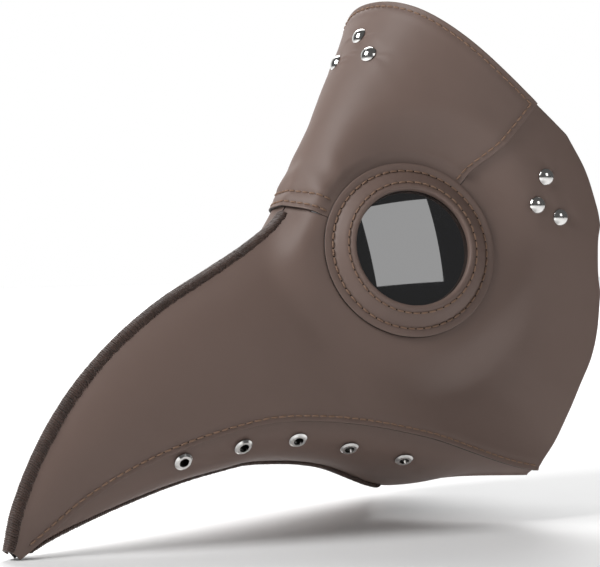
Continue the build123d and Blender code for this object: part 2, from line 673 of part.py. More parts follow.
def main():
    skin_top = LEATHER
    brow_top = LEATHER + LAYER_GAP + LEATHER
    temple_low = -0.25 - STRAP_LEATHER
    brow_low = LEATHER + LAYER_GAP - 0.25 - STRAP_LEATHER

    write_pair("side_panel", side_panel())
    write("forehead_panel", forehead_panel())
    write_pair("jaw_panel", jaw_panel())
    write("ridge_whip_stitch", ridge_stitch())
    write("keel_whip_stitch", keel_stitch())
    write_pair("eye_ring", eye_ring())
    write_pair("lens", lens())
    write_pair("lens_retainer", lens_retainer())
    write_pair("vent_eyelets", vent_eyelets())
    write_pair("eyelet_washers", eyelet_washers())
    write_pair("temple_rivet_caps", rivet_caps(TEMPLE_RIVETS, skin_top + 0.12, temple_low - RIVET_BACK_T))
    write_pair("temple_rivet_backs", rivet_backs(TEMPLE_RIVETS, temple_low - BACK_GAP))
    write("brow_rivet_caps", rivet_caps(BROW_RIVETS, brow_top + 0.12, brow_low - RIVET_BACK_T))
    write("brow_rivet_backs", rivet_backs(BROW_RIVETS, brow_low - BACK_GAP))
    write_pair("strap_anchor", temple_anchor())
    write("strap_anchor_top", brow_anchor())

    left = strap_plane(SIDE_FOLD, LEFT_REST)
    write("strap_left", left * strap_left())
    write("strap_keeper", left * strap_keeper())
    write("buckle_frame", left * buckle_frame())
    write("buckle_prong", left * buckle_prong())
    write("strap_right", mirror(strap_plane(SIDE_FOLD, RIGHT_REST) * strap_right(), about=Plane.YZ))
    write("strap_top", strap_top())


main()
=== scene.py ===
import math
import random

import bpy
import numpy as np
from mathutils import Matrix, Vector, kdtree, noise


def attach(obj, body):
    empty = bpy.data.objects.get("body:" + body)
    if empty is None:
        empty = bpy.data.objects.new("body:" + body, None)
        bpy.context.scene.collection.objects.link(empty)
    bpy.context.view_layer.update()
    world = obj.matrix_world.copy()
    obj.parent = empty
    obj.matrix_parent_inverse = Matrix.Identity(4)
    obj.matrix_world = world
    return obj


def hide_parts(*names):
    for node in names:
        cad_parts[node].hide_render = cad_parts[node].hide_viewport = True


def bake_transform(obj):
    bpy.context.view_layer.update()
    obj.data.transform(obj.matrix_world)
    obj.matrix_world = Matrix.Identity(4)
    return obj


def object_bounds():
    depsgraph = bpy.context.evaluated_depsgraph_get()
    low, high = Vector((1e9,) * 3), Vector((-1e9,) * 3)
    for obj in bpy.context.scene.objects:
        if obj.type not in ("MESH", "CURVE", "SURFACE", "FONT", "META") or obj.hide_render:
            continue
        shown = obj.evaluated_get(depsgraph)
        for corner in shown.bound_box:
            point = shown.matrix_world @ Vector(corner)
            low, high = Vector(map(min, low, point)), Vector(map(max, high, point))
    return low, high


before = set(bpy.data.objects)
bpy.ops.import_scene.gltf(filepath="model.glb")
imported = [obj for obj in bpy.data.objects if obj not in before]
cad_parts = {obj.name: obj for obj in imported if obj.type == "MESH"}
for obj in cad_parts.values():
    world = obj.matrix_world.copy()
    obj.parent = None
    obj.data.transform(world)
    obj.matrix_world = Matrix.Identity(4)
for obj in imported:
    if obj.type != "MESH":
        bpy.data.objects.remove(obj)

CAD_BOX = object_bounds()
MM = 0.001

bl_info = {
    "name": "Plague Doctor Mask",
    "version": (1, 0, 0),
    "blender": (4, 5, 0),
    "location": "3D View > Sidebar > Beak Mask",
    "description": "Stitched leather beak mask with glass eyepieces, vent eyelets and riveted head straps",
    "category": "Object",
}

# ---------------------------------------------------------------- the skin of the mask, in millimetres
# ridge y, z | handle at the ridge: out, back, down | handle at the margin: in, forward, up | margin x, y, z
SECTIONS = [
    (-292.0, -146.6, 1.0, 0.4, 0.6, 0.1, 0.8, 0.8, 1.0, -290.0, -149.2),
    (-286.5, -124.3, 3.2, 2.0, 4.5, 0.3, 2.5, 6.0, 5.0, -274.6, -137.0),
    (-274.2, -97.3, 7.0, 3.5, 9.0, 1.0, 4.0, 12.0, 10.6, -255.6, -121.8),
    (-257.0, -72.2, 11.5, 4.5, 13.0, 2.0, 5.5, 18.0, 16.8, -234.8, -109.6),
    (-234.3, -49.5, 16.5, 6.0, 15.0, 3.5, 7.0, 23.0, 23.9, -211.2, -99.4),
    (-208.2, -30.7, 20.0, 8.0, 15.0, 5.0, 7.0, 28.0, 31.9, -184.5, -91.6),
    (-180.2, -15.8, 21.0, 11.0, 13.0, 7.0, 7.0, 34.0, 39.1, -160.5, -87.8),
    (-155.0, -1.8, 19.0, 12.0, 8.0, 12.0, 12.0, 44.0, 49.0, -125.5, -90.4),
    (-134.9, 13.5, 17.0, 3.0, 0.0, 15.0, 32.0, 58.0, 58.0, -85.0, -99.4),
    (-122.6, 35.2, 27.0, 0.0, 0.0, 17.0, 54.0, 72.0, 65.5, -9.0, -121.5),
    (-110.7, 56.3, 36.0, 0.0, 0.0, 17.0, 64.0, 60.0, 70.5, 10.0, -88.0),
    (-98.3, 79.2, 44.0, 0.0, 0.0, 15.0, 68.0, 36.0, 74.2, 28.0, -38.0),
    (-84.4, 103.2, 49.0, 0.0, 0.0, 10.0, 62.0, 28.0, 73.5, 28.5, 7.0),
    (-70.0, 128.3, 52.0, 0.0, 0.0, 4.0, 42.0, 28.0, 68.0, 11.0, 59.5),
    (-57.0, 150.9, 52.0, 0.0, 0.0, 3.0, 38.0, 24.0, 65.0, 2.0, 90.0),
]
# jaw: section it hangs from | margin x, y, z | handle at the margin: out, back, up
JAW_SECTIONS = [
    (0.0, 1.2, -290.4, -149.4, 0.3, 0.6, 0.3),
    (1.0, 1.3, -274.5, -140.9, 3.0, 0.4, 0.6),
    (2.0, 1.3, -251.5, -132.6, 6.0, 0.5, 1.0),
    (3.0, 1.3, -228.0, -125.6, 9.0, 1.0, 1.5),
    (4.0, 1.3, -203.0, -119.2, 12.0, 1.5, 1.5),
    (5.0, 1.3, -177.0, -114.6, 15.0, 1.0, 1.5),
    (6.0, 1.3, -153.0, -112.4, 18.0, 0.0, 1.5),
    (7.0, 1.3, -113.0, -117.0, 22.0, -2.0, 1.5),
    (8.0, 1.3, -71.2, -131.6, 26.0, 10.0, 2.5),
    (8.5, 33.0, -42.8, -125.6, 12.0, 8.0, 4.0),
    (9.0, 66.0, -9.0, -123.0, 0.2, 0.5, 1.0),
]
LAST = len(SECTIONS) - 1
JAW_TUCK = 0.09
TIP_START = 0.20
JAW_START = 0.45
KEEL_END = 8.0
BRIDGE_AT = 8.05
BROW_EDGE = [(-77.0, 131.5), (-68.0, 123.6), (-58.4, 113.8), (-47.9, 103.0), (-33.8, 88.6), (-17.2, 72.6)]
REAR_UPPER = [(1.4, 56.7), (12.6, 38.5), (19.6, 19.5), (21.8, 9.0)]
REAR_SCALLOP = [(21.8, 9.0), (20.2, 0.0), (20.2, -16.0), (21.8, -27.0)]
REAR_LOWER = [(21.8, -27.0), (20.0, -47.0), (16.2, -62.0), (9.6, -76.0), (2.8, -91.0), (-4.7, -106.6),
              (-14.9, -119.0)]
BRIDGE_EDGE = [(-150.0, 23.0), (-135.5, 18.8), (-121.0, 12.2)]
SEAM_FOOT = (-54.0, 26.4)
SEAM_HEAD = (-17.2, 72.6)
SEAM_UNDERLAP = 9.0
BRIDGE_UNDERLAP = 11.0
LAYER_GAP = 0.25
TUCK_GAP = 0.60
EYE_CENTRE = np.array((40.5, -83.6, -4.0))
EYE_AZIMUTH, EYE_ELEVATION = math.radians(70.0), math.radians(14.0)
EYE_AXIS = np.array((
    math.sin(EYE_AZIMUTH) * math.cos(EYE_ELEVATION),
    -math.cos(EYE_AZIMUTH) * math.cos(EYE_ELEVATION),
    math.sin(EYE_ELEVATION),
))
EYE_FLAT_R, EYE_FADE_R, EYE_HOLE_R = 47.0, 80.0, 37.2
RING_R, RIM_R, RING_HEIGHT = 46.0, 30.4, 9.0
TEMPLE_RIVETS = [(0.775, 12.08), (0.750, 11.65), (0.825, 11.73)]
BROW_RIVETS = [(0.0, 12.18), (0.088, 11.82), (-0.088, 11.70)]
EYELETS = [(0.32, 4.0), (0.36, 5.15), (0.36, 6.25), (0.42, 7.0), (0.42, 7.7)]
STRAP_W, STRAP_RISE = 22.0, math.radians(19.0)
SIDE_FOLD = np.array((66.0, -0.3, 25.9))
BROW_FOLD = np.array((0.0, -90.2, 88.5))
PIN_AT = 52.0
BUCKLE_TURN, LONG_TURN = math.radians(62.0), math.radians(14.0)
RIM = 0.6
# Lift and size of the dark needle-hole discs, which are painted shade for the holes.
HOLE_RISE, HOLE_SIZE = 0.035, 0.806
SIDES = (("left", False), ("right", True))


# ---------------------------------------------------------------- curves and surfaces
def eased(rows, t):
    """Row of numbers between the rows of a table, on a smooth curve through them."""
    rows = np.asarray(rows, float)
    last = len(rows) - 1
    t = np.clip(np.asarray(t, float), 0, last)
    i = np.minimum(t.astype(int), last - 1)
    f = (t - i)[..., None]

    def slope(j):
        a, b = np.maximum(j - 1, 0), np.minimum(j + 1, last)
        return (rows[b] - rows[a]) / (b - a)[..., None]

    p, q, m, o = rows[i], rows[i + 1], slope(i), slope(i + 1)
    return (((2 * p - 2 * q + m + o) * f + (3 * q - 3 * p - 2 * m - o)) * f + m) * f + p


def curve(points, step=0.05):
    return eased(points, np.arange(0, len(points) - 1 + step / 2, step))


def unit(v):
    return v / np.maximum(np.linalg.norm(v, axis=-1, keepdims=True), 1e-12)


def smooth(x):
    x = np.clip(x, 0, 1)
    return x * x * x * (10 - 15 * x + 6 * x * x)


def stack(*parts):
    return np.stack(np.broadcast_arrays(*parts), -1)


def bezier(p, q, r, s, u):
    u = u[..., None]
    v = 1 - u
    return v * v * v * p + 3 * v * v * u * q + 3 * v * u * u * r + u * u * u * s


def eye_coords(p):
    """Height above the eyepiece plane and distance from its axis."""
    q = p - EYE_CENTRE
    h = q @ EYE_AXIS
    return h, np.linalg.norm(q - h[..., None] * EYE_AXIS, axis=-1)


def skin(s, t):
    """Inner surface of the side panel: s runs from the ridge to the margin, t from tip to brow."""
    s, t = np.broadcast_arrays(np.asarray(s, float), np.asarray(t, float))
    ya, za, out, back, down, inward, forward, up, x, y, z = np.moveaxis(eased(SECTIONS, t), -1, 0)
    ridge, margin = stack(0 * ya, ya, za), stack(x, y, z)
    p = bezier(ridge, stack(out, ya + back, za - down), stack(x - inward, y - forward, z + up), margin, s)
    h, rho = eye_coords(p)
    w = smooth((EYE_FADE_R - rho) / (EYE_FADE_R - EYE_FLAT_R)) * smooth((p[..., 0] - 1) / 17)
    return p - (w * h)[..., None] * EYE_AXIS


def jaw(u, v):
    """Outer surface of the jaw panel: u runs from its tucked edge to the keel, v from tip to throat."""
    u, v = np.broadcast_arrays(np.asarray(u, float), np.asarray(v, float))
    t, x, y, z, out, back, up = np.moveaxis(eased(JAW_SECTIONS, v), -1, 0)
    head, edge, margin = skin(1 - JAW_TUCK + 0 * t, t), skin(1 + 0 * t, t), stack(x, y, z)
    run = edge - head
    size = np.linalg.norm(run, axis=-1) + 0.32 * np.linalg.norm(margin - edge, axis=-1)
    return bezier(head, head + unit(run) * 0.9 * size[..., None], stack(x + out, y + back, z + up), margin, u)


def over_head(a, t):
    """The skin carried across to the other side, where a is negative."""
    p = skin(np.abs(a), t)
    return p * stack(np.where(np.asarray(a) < 0, -1.0, 1.0), 1.0, 1.0)


def near_side(p):
    """Points of either side, brought over to the left side."""
    return stack(np.abs(p[..., 0]), p[..., 1], p[..., 2])


def slopes(surface, a, b, e=1e-3):
    a, b = np.asarray(a, float), np.asarray(b, float)
    return (surface(a + e, b) - surface(a - e, b)) / (2 * e), (surface(a, b + e) - surface(a, b - e)) / (2 * e)


def normals(surface, a, b):
    return unit(np.cross(*slopes(surface, a, b)))


def walk(surface, a, b, heading, distance, steps=4):
    """Surface coordinates reached from (a, b) by going a distance along the surface."""
    for _ in range(steps):
        da, db = slopes(surface, a, b)
        aa, ab, bb = (da * da).sum(-1), (da * db).sum(-1), (db * db).sum(-1)
        ra, rb = (heading * da).sum(-1), (heading * db).sum(-1)
        det = aa * bb - ab * ab
        move = stack((ra * bb - rb * ab) / det, (rb * aa - ra * ab) / det)
        p = da * move[..., :1] + db * move[..., 1:]
        move = move * (distance / steps / np.maximum(np.linalg.norm(p, axis=-1, keepdims=True), 1e-9))
        a, b = a + move[..., 0], b + move[..., 1]
    return a, b


def locate(y, z):
    """Skin coordinates of a spot on the temple given in side view."""
    s, t = np.full(np.shape(y), 0.78), np.full(np.shape(y), 11.8)
    for _ in range(9):
        p = skin(s, t)
        ds, dt = slopes(skin, s, t)
        ry, rz = y - p[..., 1], z - p[..., 2]
        det = ds[..., 1] * dt[..., 2] - ds[..., 2] * dt[..., 1]
        s = np.clip(s + (ry * dt[..., 2] - rz * dt[..., 1]) / det, 0.4, 1.0)
        t = np.clip(t + (ds[..., 1] * rz - ds[..., 2] * ry) / det, 10.0, 13.5)
    return s, t


def side_value(outline):
    """Function giving the distance inside a closed outline of (u, v) points, negative outside."""
    points = np.asarray(outline, float)

    def value(u, v):
        best, odd = np.full(u.shape, 1e9), np.zeros(u.shape, bool)
        for (u0, v0), (u1, v1) in zip(points, np.roll(points, -1, 0)):
            du, dv = u1 - u0, v1 - v0
            size = du * du + dv * dv
            if size < 1e-12:
                continue
            f = np.clip(((u - u0) * du + (v - v0) * dv) / size, 0, 1)
            best = np.minimum(best, (u - u0 - f * du) ** 2 + (v - v0 - f * dv) ** 2)
            if v0 != v1:
                odd ^= ((v0 > v) != (v1 > v)) & (u < du * (v - v0) / dv + u0)
        return np.where(odd, 1, -1) * np.sqrt(best)

    return value


def joined(*runs):
    return np.concatenate([curve(run) if len(run) > 2 else np.array(run) for run in runs])


def mask_region():
    far = [(-14.9, -119.0), (-20.0, -135.0), (-320.0, -190.0), (-320.0, 120.0), (-110.0, 160.0), (-77.0, 131.5)]
    brow = [BROW_EDGE, [BROW_EDGE[-1], REAR_UPPER[0]]]
    rest = [[a, b] for a, b in zip(far, far[1:])]
    return side_value(joined(*brow, REAR_UPPER, REAR_SCALLOP, REAR_LOWER, *rest))


def forehead_region(bridge_shift=0.0, seam_shift=0.0):
    nose = [(y + 0.52 * bridge_shift, z + 0.85 * bridge_shift) for y, z in BRIDGE_EDGE]
    run = unit(np.array(SEAM_HEAD) - np.array(SEAM_FOOT))
    foot = np.array(SEAM_FOOT) + seam_shift * np.array((-run[1], run[0]))
    around = [nose[-1], tuple(EYE_CENTRE[1:]), tuple(foot), tuple(foot + 90 * run)]
    around += [(-40.0, 175.0), (-160.0, 150.0), nose[0]]
    return side_value(joined(nose, *[[a, b] for a, b in zip(around, around[1:])]))


# ---------------------------------------------------------------- sheets of leather
def trimmed(data, faces, column):
    """Cuts faces along the line where a column of the corner data passes zero; keeps the positive side."""
    v = data[:, column]
    extra, made, kept = [], {}, []
    for face in faces:
        inside = [v[k] >= 0 for k in face]
        if all(inside):
            kept.append(face)
        elif any(inside):
            poly = []
            for x, y in zip(face, face[1:] + face[:1]):
                if v[x] >= 0:
                    poly.append(x)
                if (v[x] >= 0) != (v[y] >= 0):
                    key = (min(x, y), max(x, y))
                    if key not in made:
                        f = min(max(v[key[0]] / (v[key[0]] - v[key[1]]), 0.02), 0.98)
                        made[key] = len(data) + len(extra)
                        extra.append(data[key[0]] * (1 - f) + data[key[1]] * f)
                    poly.append(made[key])
            if len(set(poly)) > 2:
                kept.append(tuple(poly))
    return (np.vstack([data, extra]) if extra else data), kept


class Patch:
    """Trimmed piece of a surface. limits take (a, b, points) and give millimetres inside each edge."""

    def __init__(self, surface, a_range, b_range, cells, limits):
        self.surface = surface
        m, n = cells
        a, b = np.meshgrid(np.linspace(*a_range, m + 1), np.linspace(*b_range, n + 1), indexing="ij")
        a, b = a.ravel(), b.ravel()
        p = surface(a, b)
        data = np.column_stack([a, b] + [limit(a, b, p) for limit in limits])
        faces = []
        for i in range(m):
            row = i * (n + 1)
            faces += [(row + j, row + n + 1 + j, row + n + 2 + j, row + j + 1) for j in range(n)]
        for k in range(len(limits)):
            data, faces = trimmed(data, faces, k + 2)
        used = sorted({k for face in faces for k in face})
        place = {k: i for i, k in enumerate(used)}
        self.data = data[used]
        self.faces = [tuple(place[k] for k in face) for face in faces]
        self.a, self.b = self.data[:, 0], self.data[:, 1]
        self.points = surface(self.a, self.b)
        self.normals = normals(surface, self.a, self.b)
        self.loops = self.find_loops()

    def find_loops(self):
        ways = {}
        for face in self.faces:
            for x, y in zip(face, face[1:] + face[:1]):
                ways[(x, y)] = True
        after = {}
        for x, y in ways:
            if (y, x) not in ways:
                after.setdefault(x, []).append(y)
        loops = []
        while after:
            start = next(iter(after))
            loop, here = [], start
            while here in after:
                loop.append(here)
                nexts = after[here]
                here = nexts.pop()
                if not nexts:
                    del after[loop[-1]]
            if len(loop) > 8:
                loops.append(loop)
        return sorted(loops, key=len, reverse=True)

    def outward(self, loop, reach=0.8):
        """Directions across a border, away from the leather and along its surface."""
        p = self.points[loop]
        gaps = np.linalg.norm(np.roll(p, -1, 0) - p, axis=1)
        at = np.concatenate([[0], np.cumsum(gaps)])
        closed = np.vstack([p, p[:1]])

        def spot(x):
            x = np.mod(x, at[-1])
            return np.column_stack([np.interp(x, at, closed[:, k]) for k in range(3)])

        run = unit(spot(at[:-1] + reach) - spot(at[:-1] - reach))
        return unit(np.cross(run, self.normals[loop]))

    def border(self, keep, inset):
        """Surface coordinates of lines that run beside the border where keep(a, b, points) is true."""
        lines = []
        for loop in self.loops:
            loop = np.array(loop)
            mask = keep(self.a[loop], self.b[loop], self.points[loop])
            if not mask.any():
                continue
            inward = -self.outward(loop, 2.5)
            if not mask.all():
                start = int(np.argmin(mask))
                order = np.roll(np.arange(len(loop)), -start)
                groups, run = [], []
                for k in order:
                    if mask[k]:
                        run.append(k)
                    elif run:
                        groups.append(run)
                        run = []
                if run:
                    groups.append(run)
            else:
                groups = [list(range(len(loop)))]
            for group in groups:
                if len(group) < 12:
                    continue
                at = loop[group]
                lines.append(walk(self.surface, self.a[at], self.b[at], inward[group], inset))
        return lines


def leather_sheet(name, patch, low, high, finishes, relief=None, lift=None, mirror=False, rim=RIM):
    """Closed sheet with rounded cut edges, between two levels above a surface."""
    p, n = patch.points, patch.normals
    raised = relief(p, mirror) if relief else np.zeros(len(p))
    lifted = lift(p) if lift else np.zeros(len(p))
    upper = p + n * (high + lifted + raised)[:, None]
    lower = p + n * (low + lifted + 0.7 * raised)[:, None]
    count = len(p)
    points = [upper, lower]
    faces = list(patch.faces) + [tuple(k + count for k in reversed(face)) for face in patch.faces]
    picks = [0] * len(patch.faces) + [1] * len(patch.faces)
    thick = high - low
    profile = [(0.5, 0.04), (0.87, 0.22), (1.0, 0.34 * thick), (1.0, 0.66 * thick), (0.8, thick - 0.16)]
    # Weights for darkening the rounded top edge: partly the edge's own dark dye, partly painted shade where the edge
    # turns away.
    edge_dye_and_shade_weights = [np.zeros(count), np.zeros(count)]
    base = 2 * count
    for loop in patch.loops:
        loop = np.array(loop)
        out = patch.outward(loop)
        size = len(loop)
        nxt = np.roll(np.arange(size), -1)
        before = loop
        for k, (reach, drop) in enumerate(profile):
            points.append(upper[loop] + out * reach * rim - n[loop] * drop)
            edge_dye_and_shade_weights.append(np.full(size, (0.6, 0.9, 1.0, 1.0, 0.8)[k]))
            here = base + np.arange(size)
            faces += list(zip(before, here, here[nxt], before[nxt]))
            picks += [0 if k < 2 else 2] * size
            before = here
            base += size
        under = loop + count
        faces += list(zip(before, under, under[nxt], before[nxt]))
        picks += [1] * size
    points = np.vstack(points)
    if mirror:
        points = points * np.array((-1.0, 1.0, 1.0))
        faces = [tuple(reversed(face)) for face in faces]
    faces = [tuple(int(k) for k in face) for face in faces]
    return piece(name, points, faces, finishes, picks, {"edge_wear": np.concatenate(edge_dye_and_shade_weights)})


def piece(name, points, faces, finishes, picks=None, fields=None):
    mesh = bpy.data.meshes.new(name)
    mesh.from_pydata((np.asarray(points) * MM).tolist(), [], faces)
    for finish in finishes:
        mesh.materials.append(finish)
    if picks is not None:
        mesh.polygons.foreach_set("material_index", picks)
    mesh.polygons.foreach_set("use_smooth", [True] * len(mesh.polygons))
    for key, values in (fields or {}).items():
        mesh.attributes.new(key, "FLOAT", "POINT").data.foreach_set("value", np.asarray(values, np.float32))
    mesh.update()
    made = bpy.data.objects.new(name, mesh)
    bpy.context.scene.collection.objects.link(made)
    return made


def mirrored(points):
    return points * np.array((-1.0, 1.0, 1.0))


# ---------------------------------------------------------------- thread
def tubes(name, paths, sides_up, radii, finish, corners=7):
    """One piece of many short round threads; paths is (threads, points, 3), sides_up the same."""
    paths, ups = np.asarray(paths, float), np.asarray(sides_up, float)
    count, n, _ = paths.shape
    run = unit(np.gradient(paths, axis=1))
    side = unit(np.cross(run, ups))
    up = unit(np.cross(side, run))
    turn = np.arange(corners) * 2 * math.pi / corners
    ring = side[:, :, None] * np.cos(turn)[:, None] + up[:, :, None] * np.sin(turn)[:, None]
    points = paths[:, :, None] + ring * np.asarray(radii, float)[..., None, None]
    faces = []
    for k in range(count):
        base = k * n * corners
        for i in range(n - 1):
            for j in range(corners):
                a, b = base + i * corners + j, base + i * corners + (j + 1) % corners
                faces.append((a, b, b + corners, a + corners))
        faces.append(tuple(base + j for j in reversed(range(corners))))
        faces.append(tuple(base + (n - 1) * corners + j for j in range(corners)))
    return piece(name, points.reshape(-1, 3), faces, [finish])


def along(p, pitch):
    """Positions at even spacing along a line, as fractions of its point list."""
    gaps = np.linalg.norm(np.diff(p, axis=0), axis=1)
    at = np.concatenate([[0], np.cumsum(gaps)])
    count = max(2, int(round(at[-1] / pitch)))
    return np.interp(np.linspace(0, at[-1], count * 8 + 1), at, np.arange(len(p)))


def pick(values, at):
    index = np.arange(len(values))
    if values.ndim == 1:
        return np.interp(at, index, values)
    return np.column_stack([np.interp(at, index, values[:, k]) for k in range(values.shape[1])])


def sewn(lines, pitch, radius, seed, proud=0.0):
    """Stitch paths, their upward directions and the needle holes for lines of (points, normals)."""
    dice = random.Random(seed)
    paths, ups, holes = [], [], []
    bow = np.array((-0.55, 0.25, 0.72, 0.85, 0.72, 0.25, -0.55))
    for p, n in lines:
        at = along(p, pitch)
        spots, rise = pick(p, at), unit(pick(n, at))
        for k in range(0, len(at) - 8, 8):
            holes.append((spots[k], rise[k]))
            inner = k + np.array((0.9, 1.3, 2.3, 4.0, 5.7, 6.7, 7.1))
            path, up = pick(spots, inner), unit(pick(rise, inner))
            across = unit(np.cross(path[-1] - path[0], up[3]))
            sway = dice.uniform(-0.16, 0.16)
            lean = np.linspace(-1, 1, 7)[:, None] * across * sway
            paths.append(path + up * (bow * radius * dice.uniform(0.9, 1.1) + proud)[:, None] + lean)
            ups.append(up)
    return paths, ups, holes


def stitching(name, lines, pitch, radius, seed, body, mirror=False, proud=0.0):
    """Sews lines of thread, with dark discs of painted shade for the needle holes between the stitches."""
    paths, ups, holes = sewn(lines, pitch, radius, seed, proud)
    paths, ups = np.array(paths), np.array(ups)
    if mirror:
        paths, ups = mirrored(paths), mirrored(ups)
    shape = radius * np.array((0.55, 0.85, 1.0, 1.0, 1.0, 0.85, 0.55))
    made = tubes(name, paths, ups, np.broadcast_to(shape, paths.shape[:2]), finish("thread"))
    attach(made, body)
    points, faces = [], []
    for spot, up in holes:
        side = unit(np.cross(up, (0.3, 0.5, 0.8)))
        turn = np.linspace(0, 2 * math.pi, 9)[:-1, None]
        rim = side * np.cos(turn) + np.cross(up, side) * np.sin(turn)
        disc = spot + up * (proud + HOLE_RISE) + HOLE_SIZE * radius * rim
        faces.append(tuple(range(len(points), len(points) + 8)))
        points += list(mirrored(disc) if mirror else disc)
    if mirror:
        faces = [tuple(reversed(face)) for face in faces]
    # Dark discs of painted shade where the needle holes are.
    hole_shade_discs = piece(name + "_holes", np.array(points), faces, [finish("needle_hole_shade")])
    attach(hole_shade_discs, body)
    return made


def whip(name, surface, at, step, t_range, half_width, levels, pitch, seed):
    """Thread wound over the joint of the two halves, turn against turn."""
    dice = random.Random(seed)
    t = np.linspace(*t_range, 1500)
    p = surface(at + 0 * t, t)
    gaps = np.linalg.norm(np.diff(p, axis=0), axis=1)
    length = np.concatenate([[0], np.cumsum(gaps)])
    turns = np.interp(np.arange(0, length[-1], pitch), length, t)
    rate = np.interp(turns, t, np.gradient(length, t))
    across = np.linspace(-1, 1, 15)
    lean = np.array([dice.uniform(0.55, 1.05) for _ in turns])
    width = np.array([dice.uniform(0.9, 1.06) for _ in turns])
    a = across[None, :] * np.ones((len(turns), 1))
    tt = turns[:, None] + a * (lean / rate)[:, None] * 0.9
    speed = np.linalg.norm(surface(at + step + 0 * turns, turns) - surface(at + 0 * turns, turns), axis=1) / abs(step)
    reach = np.minimum(half_width * width / speed, 0.35)[:, None] * np.abs(a) ** 1.4
    where = at + math.copysign(1, step) * reach
    n = normals(surface, where, tt)
    mid = unit(n * np.array((0.0, 1.0, 1.0)))
    fade = smooth(np.abs(a) / 0.5)[..., None]
    rise = unit(mid * (1 - fade) + n * fade)
    stretch = 1 + (1 / (mid * n).sum(-1) - 1) * (1 - smooth(np.abs(a) / 0.85))
    base = surface(where, tt) * stack(smooth(np.abs(a) / 0.45), 1.0, 1.0)
    level = levels[0] + (levels[1] - levels[0]) * np.abs(a) ** 5
    flip = stack(np.where(a < 0, -1.0, 1.0), 1.0, 1.0)
    paths = (base + rise * (level * stretch)[..., None]) * flip
    radii = pitch * 0.56 * np.array([dice.uniform(0.86, 1.08) for _ in turns])[:, None]
    radii = radii * (1 - 0.35 * np.abs(a) ** 6)
    return tubes(name, paths, rise * flip, radii, finish("whip_thread"), 8)


# ---------------------------------------------------------------- finishes
class Field:
    """A value that changes over a surface; sums and products of fields add Math nodes."""

    def __init__(self, maker, socket):
        self.maker, self.socket = maker, socket

    def maths(self, operation, first, second):
        return self.maker.node("ShaderNodeMath", {"operation": operation}, {0: first, 1: second})

    def __add__(self, other):
        return self.maths("ADD", self, other)

    def __radd__(self, other):
        return self.maths("ADD", other, self)

    def __sub__(self, other):
        return self.maths("SUBTRACT", self, other)

    def __rsub__(self, other):
        return self.maths("SUBTRACT", other, self)

    def __mul__(self, other):
        return self.maths("MULTIPLY", self, other)

    def __rmul__(self, other):
        return self.maths("MULTIPLY", other, self)


class Finish:
    """One material, built round a single surface shader."""

    def __init__(self, name, **fixed):
        self.material = bpy.data.materials.new(name)
        self.material.use_nodes = True
        self.tree = self.material.node_tree
        self.shader = self.tree.nodes["Principled BSDF"]
        for key, value in fixed.items():
            self.shader.inputs[key.replace("_", " ")].default_value = value

    def node(self, kind, settings=None, sockets=None, out=0):
        made = self.tree.nodes.new(kind)
        for key, value in (settings or {}).items():
            if key == "stops":
                ramp = made.color_ramp.elements
                while len(ramp) < len(value):
                    ramp.new(0.5)
                for element, (position, colour) in zip(ramp, value):
                    element.position = position
                    element.color = colour
            else:
                setattr(made, key, value)
        for key, value in (sockets or {}).items():
            if isinstance(value, Field):
                self.tree.links.new(value.socket, made.inputs[key])
            else:
                made.inputs[key].default_value = value
        return Field(self, made.outputs[out])

    def place(self):
        return self.node("ShaderNodeTexCoord", out="Object")

    def noise(self, at, scale, detail=2.0, rough=0.5):
        sockets = {"Vector": at, "Scale": scale, "Detail": detail, "Roughness": rough}
        return self.node("ShaderNodeTexNoise", None, sockets)

    def cells(self, at, scale):
        sockets = {"Vector": at, "Scale": scale, "Smoothness": 0.6}
        return self.node("ShaderNodeTexVoronoi", {"feature": "SMOOTH_F1"}, sockets)

    def between(self, field, low, high):
        settings = {"interpolation_type": "SMOOTHSTEP"}
        return self.node("ShaderNodeMapRange", settings, {0: field, 1: low, 2: high})

    def blend(self, factor, first, second):
        return self.node("ShaderNodeMix", {"data_type": "RGBA"}, {0: factor, 6: first, 7: second}, 2)

    def attribute(self, name):
        return self.node("ShaderNodeAttribute", {"attribute_name": name}, None, "Fac")

    def link(self, key, field):
        self.tree.links.new(field.socket, self.shader.inputs[key])

    def bump(self, height, strength, distance):
        sockets = {"Height": height, "Strength": strength, "Distance": distance}
        self.link("Normal", self.node("ShaderNodeBump", None, sockets))


def tone(colour, factor=1.0):
    return tuple(min(1.0, c * factor) for c in colour[:3]) + (1.0,)


def make_leather(name, colour, roughness, grain=1.0):
    look = bpy.context.scene.mask_leather
    made = Finish(name, Specular_IOR_Level=0.22, Coat_Roughness=0.27, Coat_Weight=0.32)
    at = made.place()
    cloudy = made.noise(at, 26.0, 3.0, 0.55)
    mottle = made.noise(at, 170.0, 3.0, 0.6)
    pores = made.noise(at, 2600.0, 2.0, 0.5)
    pebble = made.cells(at, 1000.0 / look.grain_size)
    crease = made.cells(at, 330.0)
    tone_mix = made.attribute("edge_wear")
    base = made.blend(made.between(cloudy * 0.7 + mottle * 0.3, 0.32, 0.68), tone(colour, 0.86), tone(colour, 1.13))
    base = made.blend(made.between(pebble, 0.1, 0.75) * 0.35, base, tone(colour, 0.72))
    # Rounded edges blend towards the cut-edge colour: partly the edge's own dark dye, partly painted shade.
    base = made.blend(tone_mix * 0.55, base, tone(look.edge_colour))
    made.link("Base Color", base)
    made.link("Roughness", roughness + (mottle - 0.5) * 0.12 + (cloudy - 0.5) * 0.1 + pebble * 0.06 + tone_mix * 0.1)
    height = pebble * 0.55 + pores * 0.25 + crease * 0.5 + mottle * 0.9
    made.bump(height, 0.32 * grain, 0.00022)
    return made.material


